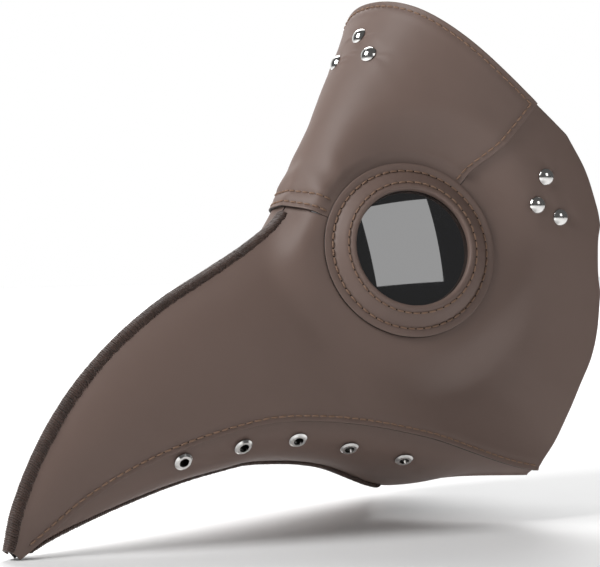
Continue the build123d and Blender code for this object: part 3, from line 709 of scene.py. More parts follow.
def make_backing():
    made = Finish("leather_backing", Specular_IOR_Level=0.25)
    at = made.place()
    nap = made.noise(at, 1800.0, 3.0, 0.7)
    weave = made.noise(at, 420.0, 2.0, 0.6)
    made.link("Base Color", made.blend(weave, (0.036, 0.034, 0.033, 1), (0.066, 0.062, 0.060, 1)))
    made.link("Roughness", 0.85 + (nap - 0.5) * 0.2)
    made.bump(nap * 0.7 + weave * 0.6, 0.5, 0.0003)
    return made.material


def make_cut_edge():
    made = Finish("leather_cut_edge", Specular_IOR_Level=0.35)
    at = made.place()
    fibre = made.noise(at, 1500.0, 3.0, 0.7)
    look = bpy.context.scene.mask_leather
    made.link("Base Color", made.blend(fibre, tone(look.edge_colour, 0.6), tone(look.edge_colour, 1.25)))
    made.link("Roughness", 0.6 + (fibre - 0.5) * 0.3)
    made.bump(fibre, 0.5, 0.0003)
    return made.material


def make_thread(name, colour, shine):
    made = Finish(name, Specular_IOR_Level=0.45, Sheen_Weight=0.25, Sheen_Roughness=0.5)
    at = made.place()
    ply = made.noise(at, 1900.0, 2.0, 0.6)
    soil = made.noise(at, 90.0, 2.0, 0.5)
    tone_mix = made.between(ply * 0.6 + soil * 0.4, 0.3, 0.7)
    made.link("Base Color", made.blend(tone_mix, tone(colour, 0.62), tone(colour, 1.3)))
    made.link("Roughness", shine + (ply - 0.5) * 0.2)
    made.bump(ply, 0.55, 0.0003)
    return made.material


def make_nickel():
    made = Finish("nickel", Metallic=1.0)
    at = made.place()
    smear = made.noise(at, 240.0, 3.0, 0.6)
    scratch = made.noise(at, 3200.0, 2.0, 0.6)
    made.link("Base Color", made.blend(smear, (0.60, 0.585, 0.56, 1), (0.76, 0.75, 0.73, 1)))
    made.link("Roughness", 0.13 + smear * 0.14 + scratch * 0.05)
    made.bump(smear * 0.5 + scratch * 0.3, 0.08, 0.0002)
    return made.material


def make_lens():
    made = Finish("lens_glass", Base_Color=(0.0035, 0.0035, 0.0045, 1.0), IOR=1.85, Specular_IOR_Level=0.95)
    at = made.place()
    film = made.noise(at, 60.0, 3.0, 0.6)
    made.link("Roughness", 0.015 + made.between(film, 0.45, 0.8) * 0.035)
    return made.material


def make_retainer():
    made = Finish("retainer_plastic", Specular_IOR_Level=0.4)
    at = made.place()
    pitted = made.noise(at, 900.0, 3.0, 0.6)
    made.link("Base Color", made.blend(pitted, (0.012, 0.012, 0.013, 1), (0.026, 0.026, 0.027, 1)))
    made.link("Roughness", 0.42 + pitted * 0.2)
    made.bump(pitted, 0.3, 0.0002)
    return made.material


# Near-black colour for the needle-hole discs: painted shade standing in for the shadowed insides of the holes.
def make_needle_hole_shade():
    made = Finish("needle_hole_shade", Specular_IOR_Level=0.1)
    at = made.place()
    depth = made.noise(at, 2500.0, 2.0, 0.5)
    made.link("Base Color", made.blend(depth, (0.006, 0.004, 0.003, 1), (0.018, 0.011, 0.008, 1)))
    made.link("Roughness", 0.85 + depth * 0.1)
    return made.material


def finish(name):
    """The material of that name, made the first time it is asked for."""
    look = bpy.context.scene.mask_leather
    made = {
        "mask_leather": lambda: make_leather("mask_leather", look.leather_colour, look.roughness),
        "strap_leather": lambda: make_leather("strap_leather", look.strap_colour, look.roughness + 0.06),
        "leather_backing": make_backing,
        "leather_cut_edge": make_cut_edge,
        "thread": lambda: make_thread("thread", look.thread_colour, 0.5),
        "whip_thread": lambda: make_thread("whip_thread", look.whip_colour, 0.44),
        "needle_hole_shade": make_needle_hole_shade,
        "nickel": make_nickel,
        "lens_glass": make_lens,
        "retainer_plastic": make_retainer,
    }
    return bpy.data.materials.get(name) or made[name]()


def leathers(kind="mask_leather"):
    return [finish(kind), finish("leather_backing"), finish("leather_cut_edge")]


# ---------------------------------------------------------------- how the leather is pulled about
def undulation(p, mirror, size, shift):
    place = p / size + shift + (37.0 if mirror else 0.0)
    return np.array([noise.noise(Vector(v)) for v in place])


def near(lines, p):
    """Distance from each point to the nearest of some lines."""
    spots = np.vstack(lines)
    tree = kdtree.KDTree(len(spots))
    for k, spot in enumerate(spots):
        tree.insert(spot, k)
    tree.balance()
    return np.array([tree.find(v)[2] for v in p])


def pucker(p, rivets):
    """Leather drawn in round riveted spots."""
    total = np.zeros(len(p))
    for k, spot in enumerate(rivets):
        q = p - spot
        d = np.linalg.norm(q, axis=1)
        turn = np.arctan2(q[:, 2], q[:, 1])
        total -= 0.42 * np.exp(-((d / 6.5) ** 2))
        total += 0.13 * np.cos(5 * turn + 1.7 * k) * np.exp(-(((d - 8.5) / 3.8) ** 2))
    return total


def seam_relief(lines, p, depth=0.34, puff=0.16):
    d = near(lines, p)
    return -depth * np.exp(-((d / 1.15) ** 2)) + puff * np.exp(-(((d - 3.4) / 1.9) ** 2))


def lined(surface, lines, p_level, relief=None, lift=None):
    """Sewing lines lying on top of the leather, its relief included."""
    out = []
    for a, b in lines:
        p, n = surface(a, b), normals(surface, a, b)
        height = np.full(len(p), float(p_level))
        if lift:
            height = height + lift(p)
        if relief:
            height = height + relief(p, False)
        out.append((p + n * height[:, None], n))
    return out


# ---------------------------------------------------------------- settings
class MaskLeatherSettings(bpy.types.PropertyGroup):
    leather_thickness: bpy.props.FloatProperty(
        name="Leather thickness", description="Thickness of the mask panels", default=0.0016, unit="LENGTH")
    strap_thickness: bpy.props.FloatProperty(
        name="Strap thickness", description="Thickness of the harness straps", default=0.0020, unit="LENGTH")
    grain_size: bpy.props.FloatProperty(
        name="Grain size", description="Width of one pebble of the grain, in millimetres", default=0.95, min=0.2)
    roughness: bpy.props.FloatProperty(
        name="Roughness", description="Dullness of the leather's surface", default=0.33, subtype="FACTOR")
    leather_colour: bpy.props.FloatVectorProperty(
        name="Mask leather", description="Colour of the mask panels", size=3, subtype="COLOR",
        default=(0.034, 0.0142, 0.0096))
    strap_colour: bpy.props.FloatVectorProperty(
        name="Strap leather", description="Colour of the straps", size=3, subtype="COLOR",
        default=(0.024, 0.0112, 0.0078))
    edge_colour: bpy.props.FloatVectorProperty(
        name="Cut edge", description="Colour of the cut edges", size=3, subtype="COLOR",
        default=(0.020, 0.0125, 0.010))
    thread_colour: bpy.props.FloatVectorProperty(
        name="Thread", description="Colour of the sewing thread", size=3, subtype="COLOR",
        default=(0.090, 0.034, 0.0125))
    whip_colour: bpy.props.FloatVectorProperty(
        name="Whip stitching", description="Colour of the wound edges", size=3, subtype="COLOR",
        default=(0.055, 0.027, 0.018))


class MaskSewingSettings(bpy.types.PropertyGroup):
    stitch_pitch: bpy.props.FloatProperty(
        name="Stitch pitch", description="Distance from one needle hole to the next", default=0.0043, unit="LENGTH")
    thread_radius: bpy.props.FloatProperty(
        name="Thread radius", description="Half the thickness of the thread", default=0.00048, unit="LENGTH")
    hem: bpy.props.FloatProperty(
        name="Hem", description="Distance of a stitch line from the leather's edge", default=0.0022, unit="LENGTH")
    whip_pitch: bpy.props.FloatProperty(
        name="Whip pitch", description="Distance between turns along the ridge", default=0.00112, unit="LENGTH")


class MaskStageSettings(bpy.types.PropertyGroup):
    floor_colour: bpy.props.FloatVectorProperty(
        name="Floor", description="Colour of the floor and backdrop", size=3, subtype="COLOR",
        default=(0.93, 0.93, 0.93))
    key_power: bpy.props.FloatProperty(
        name="Key light", description="Power of the large soft light", default=8.4, unit="POWER")
    backdrop_power: bpy.props.FloatProperty(
        name="Backdrop light", description="Power of the light on the floor behind", default=110.0, unit="POWER")
    azimuth: bpy.props.FloatProperty(
        name="Azimuth", description="Side the camera looks from", default=math.radians(54.0), subtype="ANGLE")
    elevation: bpy.props.FloatProperty(
        name="Elevation", description="Height of the camera's view", default=math.radians(2.0), subtype="ANGLE")
    distance: bpy.props.FloatProperty(
        name="Distance", description="Distance of the camera from the mask", default=0.9, unit="LENGTH")


def millimetres(value):
    return value / MM


def sewing():
    return bpy.context.scene.mask_sewing


def thickness():
    return millimetres(bpy.context.scene.mask_leather.leather_thickness)


def strap_thickness():
    return millimetres(bpy.context.scene.mask_leather.strap_thickness)


# ---------------------------------------------------------------- panels
class MASK_OT_side_panels(bpy.types.Operator):
    """Make the two side panels that run from the brow down to the tip of the beak"""

    bl_idname = "mask.side_panels"
    bl_label = "Side Panels"

    def execute(self, context):
        region, tucked, over = mask_region(), forehead_region(BRIDGE_UNDERLAP, SEAM_UNDERLAP), forehead_region()
        limits = [
            lambda a, b, p: p[:, 0] - 0.55,
            lambda a, b, p: region(p[:, 1], p[:, 2]) - RIM,
            lambda a, b, p: -tucked(p[:, 1], p[:, 2]) - RIM,
            lambda a, b, p: np.maximum(eye_coords(p)[1] - 54.0, -over(p[:, 1], p[:, 2])) - RIM,
            lambda a, b, p: eye_coords(p)[1] - EYE_HOLE_R - RIM,
        ]
        patch = Patch(skin, (0.0, 0.994), (TIP_START, LAST), (116, 400), limits)
        hem = millimetres(sewing().hem)
        jaw_seam = patch.border(lambda a, b, p: (a > 0.993) & (b > 0.55) & (b < 9.4), hem)
        rivets = [skin(s, t) for s, t in TEMPLE_RIVETS]
        lines = [skin(a, b) for a, b in jaw_seam]

        def relief(p, mirror):
            soft = 0.42 * undulation(p, mirror, 34.0, 3.0) + 0.12 * undulation(p, mirror, 11.0, 8.0)
            away = smooth((eye_coords(p)[1] - 46.0) / 12.0)
            return soft * away + pucker(p, rivets) + seam_relief(lines, p)

        for side, mirror in SIDES:
            made = leather_sheet(f"side_leather_{side}", patch, 0.0, thickness(), leathers(), relief, mirror=mirror)
            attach(made, "mask")
            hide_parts(f"side_panel_{side}")
            rows = lined(skin, jaw_seam, thickness(), relief)
            stitching(f"jaw_seam_thread_{side}", rows, millimetres(sewing().stitch_pitch),
                      millimetres(sewing().thread_radius), 11, "mask", mirror)
        return {"FINISHED"}


class MASK_OT_forehead_panel(bpy.types.Operator):
    """Make the forehead panel that laps over the side panels and the bridge"""

    bl_idname = "mask.forehead_panel"
    bl_label = "Forehead Panel"

    def execute(self, context):
        region, over = mask_region(), forehead_region()
        low = thickness() + LAYER_GAP

        def lift(p):
            return -low * (1 - smooth((eye_coords(near_side(p))[1] - 47.0) / 7.0))

        def eye_gap(p):
            return eye_coords(near_side(p))[1] - EYE_HOLE_R

        limits = [
            lambda a, b, p: region(p[:, 1], p[:, 2]) - RIM,
            lambda a, b, p: over(p[:, 1], p[:, 2]) - RIM,
            lambda a, b, p: eye_gap(p) - RIM,
        ]
        patch = Patch(over_head, (-0.93, 0.93), (8.0, LAST), (210, 190), limits)
        hem = millimetres(sewing().hem) + 0.3

        def by(column, extra):
            return lambda a, b, p: (
                (np.abs((region, over)[column](p[:, 1], p[:, 2]) - RIM) < 0.35) & (eye_gap(p) > 9.5) & extra(p))

        brow = patch.border(by(0, lambda p: p[:, 2] > 60), hem)
        seams = patch.border(by(1, lambda p: p[:, 1] > -60), hem)
        bridge = patch.border(by(1, lambda p: p[:, 1] < -100), hem - 0.2)
        bridge += patch.border(by(1, lambda p: p[:, 1] < -100), hem + 6.3)
        every = brow + seams + bridge
        rivets = [over_head(np.array(a), np.array(t)) for a, t in BROW_RIVETS]
        lines = [over_head(a, b) for a, b in every]

        def relief(p, mirror):
            soft = 0.5 * undulation(p, mirror, 30.0, 5.0) + 0.13 * undulation(p, mirror, 10.0, 1.0)
            away = smooth((eye_gap(p) - 9.0) / 12.0)
            y, z = p[:, 1], p[:, 2]
            folds = 0.42 * np.sin(0.62 * y + 0.05 * z) * np.exp(-(((y + 126) / 13.0) ** 2)) * smooth((66 - z) / 40)
            return (soft + folds) * away + pucker(p, rivets) + seam_relief(lines, p)

        made = leather_sheet("forehead_leather", patch, low, low + thickness(), leathers(), relief, lift)
        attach(made, "mask")
        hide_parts("forehead_panel")
        rows = lined(over_head, every, low + thickness(), relief, lift)
        stitching("forehead_thread", rows, millimetres(sewing().stitch_pitch) + 0.2,
                  millimetres(sewing().thread_radius), 23, "mask")
        return {"FINISHED"}


class MASK_OT_jaw_panels(bpy.types.Operator):
    """Make the two jaw panels under the beak, with their vent holes"""

    bl_idname = "mask.jaw_panels"
    bl_label = "Jaw Panels"

    def execute(self, context):
        region = mask_region()
        vents = [jaw(np.array(a), np.array(b)) for a, b in EYELETS]
        limits = [
            lambda a, b, p: p[:, 0] - 0.8,
            lambda a, b, p: region(p[:, 1], p[:, 2]) - RIM,
            lambda a, b, p: np.min([np.linalg.norm(p - vent, axis=1) for vent in vents], axis=0) - 3.0 - RIM,
        ]
        patch = Patch(jaw, (0.006, 0.994), (JAW_START, len(JAW_SECTIONS) - 1), (72, 330), limits)

        def relief(p, mirror):
            total = 0.35 * undulation(p, mirror, 26.0, 9.0) + 0.1 * undulation(p, mirror, 9.0, 2.0)
            for vent in vents:
                total -= 0.25 * np.exp(-((np.linalg.norm(p - vent, axis=1) / 6.5) ** 2))
            return np.minimum(total, 0.18)

        for side, mirror in SIDES:
            made = leather_sheet(f"jaw_leather_{side}", patch, -thickness() - TUCK_GAP, -TUCK_GAP, leathers(), relief,
                                 mirror=mirror)
            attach(made, "mask")
            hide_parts(f"jaw_panel_{side}")
        return {"FINISHED"}


class MASK_OT_whip_stitching(bpy.types.Operator):
    """Wind the thread over the ridge and the keel of the beak"""

    bl_idname = "mask.whip_stitching"
    bl_label = "Whip Stitching"

    def execute(self, context):
        pitch = millimetres(sewing().whip_pitch)
        top = thickness() + LAYER_GAP
        ridge = whip("ridge_thread", skin, 0.004, 0.01, (0.17, BRIDGE_AT), 3.3, (top + 0.5, top - 0.5), pitch, 5)
        keel = whip("keel_thread", jaw, 1.0, -0.01, (0.6, KEEL_END - 0.05), 3.0, (0.5, -0.7), pitch * 1.15, 6)
        for made, node in ((ridge, "ridge_whip_stitch"), (keel, "keel_whip_stitch")):
            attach(made, "mask")
            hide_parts(node)
        return {"FINISHED"}


# ---------------------------------------------------------------- eyepieces
def eye_frame():
    across = unit(np.cross((0.0, 0.0, 1.0), EYE_AXIS))
    return across, np.cross(EYE_AXIS, across)


def round_piece(name, rows, finishes, picks, closed, ripple=None, count=288):
    """Piece turned about the eyepiece axis; rows are (radius, height) from outside to inside."""
    across, up = eye_frame()
    turn = np.arange(count) * 2 * math.pi / count
    rows = np.asarray(rows, float)
    r = rows[:, 0][:, None] + 0 * turn
    h = rows[:, 1][:, None] + 0 * turn
    if ripple:
        h = h + ripple(r, turn[None, :])
    spoke = np.cos(turn)[:, None] * across + np.sin(turn)[:, None] * up
    points = EYE_CENTRE + r[..., None] * spoke + h[..., None] * EYE_AXIS
    faces, chosen = [], []
    last = len(rows) if closed else len(rows) - 1
    for i in range(last):
        k = (i + 1) % len(rows)
        for j in range(count):
            m = (j + 1) % count
            faces.append((i * count + j, i * count + m, k * count + m, k * count + j))
            chosen.append(picks[i])
    return points.reshape(-1, 3), faces, chosen, finishes, name


def both_eyes(spec, names):
    points, faces, chosen, finishes, name = spec
    for side, mirror in SIDES:
        p, f = (mirrored(points), [tuple(reversed(x)) for x in faces]) if mirror else (points, faces)
        made = piece(f"{name}_{side}", p, f, finishes, chosen)
        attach(made, "mask")
        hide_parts(f"{names}_{side}")


def ring_profile():
    """Outer face of the eye ring from its foot over the rim and down to the lens, then its back."""
    foot = thickness() + LAYER_GAP
    top = foot + thickness()
    face = [(RING_R, foot + 0.25), (RING_R, top - 0.45), (RING_R - 0.15, top - 0.15), (RING_R - 0.5, top + 0.02),
            (44.6, top + 0.12), (43.2, top + 0.12), (42.3, top + 0.10), (41.5, top + 0.05), (40.8, top + 0.30),
            (40.0, top + 1.0), (39.0, top + 1.75), (37.8, top + 2.6), (36.4, top + 3.5), (35.3, top + 4.15),
            (34.3, top + 4.55), (33.3, top + 5.0), (32.4, RING_HEIGHT - 0.1), (31.6, RING_HEIGHT),
            (30.95, RING_HEIGHT - 0.2), (30.55, RING_HEIGHT - 0.65), (RIM_R, RING_HEIGHT - 1.3), (RIM_R, 6.6),
            (RIM_R, 5.4)]
    back = [(RIM_R + 0.2, 5.3), (RIM_R + 1.5, 5.3), (RIM_R + 1.5, RING_HEIGHT - 1.9), (33.2, RING_HEIGHT - 2.0),
            (34.2, RING_HEIGHT - 2.6), (38.0, 3.9), (40.4, foot), (44.0, foot), (RING_R - 0.25, foot)]
    return face, back


class MASK_OT_eyepieces(bpy.types.Operator):
    """Make the leather eye rings with their stitching, and the dark lenses"""

    bl_idname = "mask.eyepieces"
    bl_label = "Eyepieces"

    def execute(self, context):
        face, back = ring_profile()
        rings = ((41.6, 60, 0.3), (34.4, 50, 1.1))

        def ripple(r, turn):
            total = 0.05 * np.sin(3 * turn + 0.6) + 0.04 * np.sin(7 * turn + 2.0)
            for radius, count, start in rings:
                dip = np.exp(-(((r - radius) / 0.8) ** 2))
                puff = np.exp(-(((r - radius - 1.7) / 1.0) ** 2)) + np.exp(-(((r - radius + 1.7) / 1.0) ** 2))
                beat = 0.5 + 0.5 * np.cos(count * (turn - start))
                total = total - dip * (0.2 + 0.14 * beat) + 0.10 * puff * (1 - beat)
            return total * (r > 31.2) * (r < 45.2)

        picks = [2, 2, 0] + [0] * (len(face) - 4) + [0] + [1] * len(back)
        spec = round_piece("eye_ring_leather", face + back, leathers(), picks, True, ripple)
        both_eyes(spec, "eye_ring")
        across, up = eye_frame()
        heights = np.array(face[3:18])[::-1]
        for radius, count, start in rings:
            turn = start + np.linspace(0, 2 * math.pi, count * 6 + 1)
            level = np.interp(radius, heights[:, 0], heights[:, 1])
            slope = (np.interp(radius + 0.6, heights[:, 0], heights[:, 1])
                     - np.interp(radius - 0.6, heights[:, 0], heights[:, 1])) / 1.2
            spoke = np.cos(turn)[:, None] * across + np.sin(turn)[:, None] * up
            line = EYE_CENTRE + radius * spoke + (level - 0.12) * EYE_AXIS
            rise = unit(EYE_AXIS - slope * spoke)
            pitch = 2 * math.pi * radius / count
            for side, mirror in SIDES:
                stitching(f"eye_thread_{int(radius)}_{side}", [(line, rise)], pitch,
                          millimetres(sewing().thread_radius), int(radius), "mask", mirror)
        self.lenses()
        for side, _ in SIDES:
            paint_node(f"lens_retainer_{side}", "retainer_plastic")
        return {"FINISHED"}

    def lenses(self):
        lens_r, dome, seat, thick = 32.8, 2.3, 4.95, 1.9
        ball = (lens_r ** 2 + dome ** 2) / (2 * dome)

        def outline(top, radii):
            return [(r, top + math.sqrt(ball ** 2 - r ** 2) - (ball - dome)) for r in radii]

        radii = np.concatenate([np.linspace(lens_r, 1.2, 30), (0.4, 0.06, 0.02)])
        rows = outline(seat - thick, radii[::-1]) + outline(seat, radii)
        spec = round_piece("lens_dark", rows, [finish("lens_glass")], [0] * len(rows), True, count=160)
        both_eyes(spec, "lens")


def paint_node(node, name):
    """Gives a CAD node its finish."""
    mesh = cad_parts[node].data
    mesh.materials.clear()
    mesh.materials.append(finish(name))


class MASK_OT_hardware(bpy.types.Operator):
    """Finish the rivets, vent eyelets and buckle in polished nickel"""

    bl_idname = "mask.hardware"
    bl_label = "Rivets, Eyelets and Buckle"

    def execute(self, context):
        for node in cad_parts:
            if node.startswith(("temple_rivet", "brow_rivet", "vent_eyelets", "eyelet_washers", "buckle")):
                paint_node(node, "nickel")
        return {"FINISHED"}


# ---------------------------------------------------------------- harness
def strap_frame(turn):
    """Directions of a side strap: along it, towards the middle of the head, and across its width."""
    c, s = math.cos(STRAP_RISE), math.sin(STRAP_RISE)
    back, across, inward = np.array((0, c, s)), np.array((0, -s, c)), np.array((-1.0, 0, 0))
    run = math.cos(turn) * back + math.sin(turn) * inward
    return run, np.cross(across, run), across


def path_reader(points):
    """Function giving the place on a smooth path at a length along it."""
    line = curve(points, 0.02)
    at = np.concatenate([[0], np.cumsum(np.linalg.norm(np.diff(line, axis=0), axis=1))])
    direction = unit(line[1] - line[0])

    def read(a):
        before = np.minimum(a, 0)[..., None] * direction
        return np.stack([np.interp(a, at, line[:, k]) for k in range(2)], -1) + before

    return read, at[-1]


def temple_strap(turn, path):
    """Surface of a side strap: along it from its rivets, and across its width."""
    run, inward, across = strap_frame(turn)
    c, s = math.cos(STRAP_RISE), math.sin(STRAP_RISE)
    level = -0.25 - strap_thickness() / 2

    def surface(a, b):
        a, b = np.broadcast_arrays(np.asarray(a, float), np.asarray(b, float))
        g = np.clip(a, -30, 4)
        where = locate(SIDE_FOLD[1] + g * c - b * s, SIDE_FOLD[2] + g * s + b * c)
        on_mask = skin(*where) + normals(skin, *where) * level
        place = path(a)
        free = SIDE_FOLD + place[..., :1] * run + place[..., 1:] * inward + b[..., None] * across
        w = smooth((a + 4.0) / 7.0)[..., None]
        return on_mask * (1 - w) + free * w

    return surface


def brow_strap(path):
    """Surface of the top strap, from its rivets under the brow down to its loop."""
    level = thickness() + LAYER_GAP - 0.25 - strap_thickness() / 2

    def surface(a, b):
        a, b = np.broadcast_arrays(np.asarray(a, float), np.asarray(b, float))
        t = 11.39 - np.clip(a, -48, 8) / 28.3
        s = -b / (3 * eased(SECTIONS, t)[..., 2])
        on_mask = over_head(s, t) + normals(over_head, s, t) * level
        place = path(a)
        free = BROW_FOLD + stack(-b, place[..., 1], -place[..., 0])
        w = smooth((a + 6.0) / 9.0)[..., None]
        return on_mask * (1 - w) + free * w

    return surface


def strap(name, surface, outline, holes, b_side, length, seed):
    """Leather strap with rounded edges, cut to an outline and a set of holes."""
    value = side_value(outline)
    limits = [lambda a, b, p: value(a, b) - 0.5]
    for hole in holes:
        limits.append(lambda a, b, p, hole=hole: hole(a, b) - 0.5)
    cells = (int((length + 50) / 0.9), int(2 * b_side / 0.95))
    patch = Patch(surface, (min(u for u, v in outline) - 1, length + 1), (-b_side, b_side), cells, limits)
    half = strap_thickness() / 2

    def relief(p, mirror):
        return 0.22 * undulation(p, mirror, 16.0, seed)

    return leather_sheet(name, patch, -half, half, leathers("strap_leather"), relief, rim=0.5)


class MASK_OT_harness(bpy.types.Operator):
    """Make the three head straps, the buckle strap's keeper and their sewing"""

    bl_idname = "mask.harness"
    bl_label = "Harness"

    def execute(self, context):
        anchor = [(-1.4, 11.0), (-8.0, 14.0), (-13.0, 12.2), (-18.0, 8.0), (-23.5, 2.0), (-27.0, -3.0), (-25.5, -7.0),
                  (-22.0, -9.5), (-17.0, -11.6), (-12.0, -12.6), (-1.4, -11.0)]
        self.left(anchor)
        self.right(anchor)
        self.top()
        self.keeper()
        return {"FINISHED"}

    def finish_strap(self, made, nodes, bodies, start, end, mirror=False):
        if mirror:
            mesh = made.data
            places = np.zeros(len(mesh.vertices) * 3, np.float32)
            mesh.vertices.foreach_get("co", places)
            places.reshape(-1, 3)[:, 0] *= -1
            mesh.vertices.foreach_set("co", places)
            mesh.flip_normals()
        tuple(start * MM)
        tuple(end * MM)
        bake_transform(made)
        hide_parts(*nodes)

    def sew(self, name, surface, lines, body, seed, mirror=False):
        half = strap_thickness() / 2
        rows = []
        for a0, b0, a1, b1 in lines:
            count = max(6, int(math.hypot(a1 - a0, b1 - b0) / 0.8))
            a, b = np.linspace(a0, a1, count), np.linspace(b0, b1, count)
            p, n = surface(a, b), normals(surface, a, b)
            for sign in (1, -1):
                rows.append((p + sign * n * half, sign * n))
        stitching(name, rows, 4.0, 0.42, seed, body, mirror)

    def left(self, anchor):
        turn = BUCKLE_TURN
        at = PIN_AT
        loop = [(0, 0), (12, 0), (24, 0), (36, 0), (at - 8, 0), (at - 4.5, -0.7), (at - 2.0, -2.1),
                (at + 0.2, -2.75), (at + 2.0, -1.9), (at + 2.7, 0.0), (at + 2.0, 1.9), (at + 0.2, 2.75),
                (at - 2.2, 2.7), (at - 5.0, 2.2), (at - 10, 2.15), (at - 18, 2.15), (at - 25, 2.15)]
        path, length = path_reader(loop)
        surface = temple_strap(turn, path)
        outline = anchor + [(length - 3, -11), (length, -8), (length, 8), (length - 3, 11)]
        slot = side_value([(at - 9, -3), (length - 16, -3), (length - 16, 3), (at - 9, 3)])
        holes = [lambda a, b: -slot(a, b)]
        made = strap("buckle_strap", surface, outline, holes, 15.5, length, 4.0)
        run, inward, across = strap_frame(turn)
        lean = unit(run + 0.5 * inward)
        self.finish_strap(made, ("strap_left", "strap_anchor_left"), ("mask", "left_strap"),
                          SIDE_FOLD - 4 * lean, SIDE_FOLD + 4 * lean)
        rows = [(6, -8.6, at - 26, -8.6), (6, 8.6, at - 26, 8.6), (at - 23, -8.4, at - 23, 8.4),
                (at - 12, -8.4, at - 12, 8.4)]
        self.sew("buckle_strap_thread", surface, rows, "left_strap", 31)

    def right(self, anchor):
        turn = LONG_TURN
        bend = 13.0
        arc = [(66 + bend * math.sin(k * math.pi / 8), bend - bend * math.cos(k * math.pi / 8)) for k in range(9)]
        back = [(x, 2 * bend) for x in range(54, -6, -12)] + [(-4, 2 * bend)]
        line = [(x, 0) for x in range(0, 60, 12)] + arc + back
        path, length = path_reader(line)
        surface = temple_strap(turn, path)
        outline = anchor + [(length - 6, -11), (length - 2.2, -6.5), (length, -2.5), (length, 2.5),
                            (length - 2.2, 6.5), (length - 6, 11)]
        holes = []
        for k in range(5):
            spot = length - 14 - 10 * k
            holes.append(lambda a, b, spot=spot: np.hypot(a - spot, b) - 1.8)
        made = strap("long_strap", surface, outline, holes, 15.5, length, 12.0)
        run, inward, across = strap_frame(turn)
        lean = unit(run + inward)
        flip = np.array((-1.0, 1.0, 1.0))
        self.finish_strap(made, ("strap_right", "strap_anchor_right"), ("mask", "right_strap"),
                          (SIDE_FOLD - 4 * lean) * flip, (SIDE_FOLD + 4 * lean) * flip, True)
        rows = [(6, -8.6, length - 8, -8.6), (6, 8.6, length - 8, 8.6)]
        self.sew("long_strap_thread", surface, rows, "right_strap", 33, True)

    def top(self):
        down, r = 168.0, 3.2
        arc = [(down + r * math.sin(k * math.pi / 6), r - r * math.cos(k * math.pi / 6)) for k in range(7)]
        line = [(x, 0) for x in range(0, 160, 12)] + arc + [(down - 8, 2 * r), (down - 18, 2 * r - 0.3),
                                                            (down - 27, 2.5), (down - 31, 2.15), (down - 38, 2.15)]
        path, length = path_reader(line)
        surface = brow_strap(path)
        outline = [(-1.4, 11.0), (-9, 15.5), (-17, 16.5), (-25, 13.5), (-32, 8.0), (-35.5, 3.0), (-35.5, -3.0),
                   (-32, -8.0), (-25, -13.5), (-17, -16.5), (-9, -15.5), (-1.4, -11.0), (length, -11), (length, 11)]
        made = strap("top_strap_leather", surface, outline, [], 17.5, length, 21.0)
        self.finish_strap(made, ("strap_top", "strap_anchor_top"), ("mask", "top_strap"),
                          BROW_FOLD + np.array((0, 0, 4.0)), BROW_FOLD - np.array((0, 0, 4.0)))
        rows = [(8, -8.6, 126, -8.6), (8, 8.6, 126, 8.6), (131, -8.4, 131, 8.4), (136.5, -8.4, 136.5, 8.4)]
        self.sew("top_strap_thread", surface, rows, "top_strap", 35)

    def keeper(self):
        """Leather loop that slides along the buckle strap."""
        run, inward, across = strap_frame(BUCKLE_TURN)
        wall, width = 1.5, 9.0
        inner_t, inner_w = strap_thickness() / 2 + 0.35, STRAP_W / 2 + 0.35
        rows = []
        for reach, x in ((0.0, -0.5), (0.0, 0.5), (0.45, 0.5), (1.0, 0.42), (1.0, -0.42), (0.45, -0.5)):
            ring = []
            for k in range(64):
                turn = k * 2 * math.pi / 64
                c, s = math.cos(turn), math.sin(turn)
                half_t, half_w = inner_t + reach * wall, inner_w + reach * wall
                y = math.copysign(abs(s) ** 0.28, s) * half_t
                z = math.copysign(abs(c) ** 0.12, c) * half_w
                ring.append(SIDE_FOLD + (12.0 + x * width) * run + y * inward + z * across)
            rows.append(ring)
        faces = []
        for i in range(6):
            for j in range(64):
                k, m = (i + 1) % 6, (j + 1) % 64
                faces.append((i * 64 + j, k * 64 + j, k * 64 + m, i * 64 + m))
        made = piece("keeper_loop", np.array(rows).reshape(-1, 3), faces, [finish("strap_leather")])
        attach(made, "keeper")
        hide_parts("strap_keeper")


# ---------------------------------------------------------------- stage
WINDOW_SHARE = 0.062


def area_light(name, place, target, size, power):
    data = bpy.data.lights.new(name, "AREA")
    data.shape = "RECTANGLE"
    data.size, data.size_y = size
    data.energy = power
    made = bpy.data.objects.new(name, data)
    made.location = place
    made.rotation_euler = (Vector(target) - Vector(place)).to_track_quat("-Z", "Y").to_euler()
    bpy.context.scene.collection.objects.link(made)


def around(azimuth, elevation, distance, centre):
    a, e = math.radians(azimuth), math.radians(elevation)
    way = Vector((math.sin(a) * math.cos(e), -math.cos(a) * math.cos(e), math.sin(e)))
    return Vector(centre) + distance * way


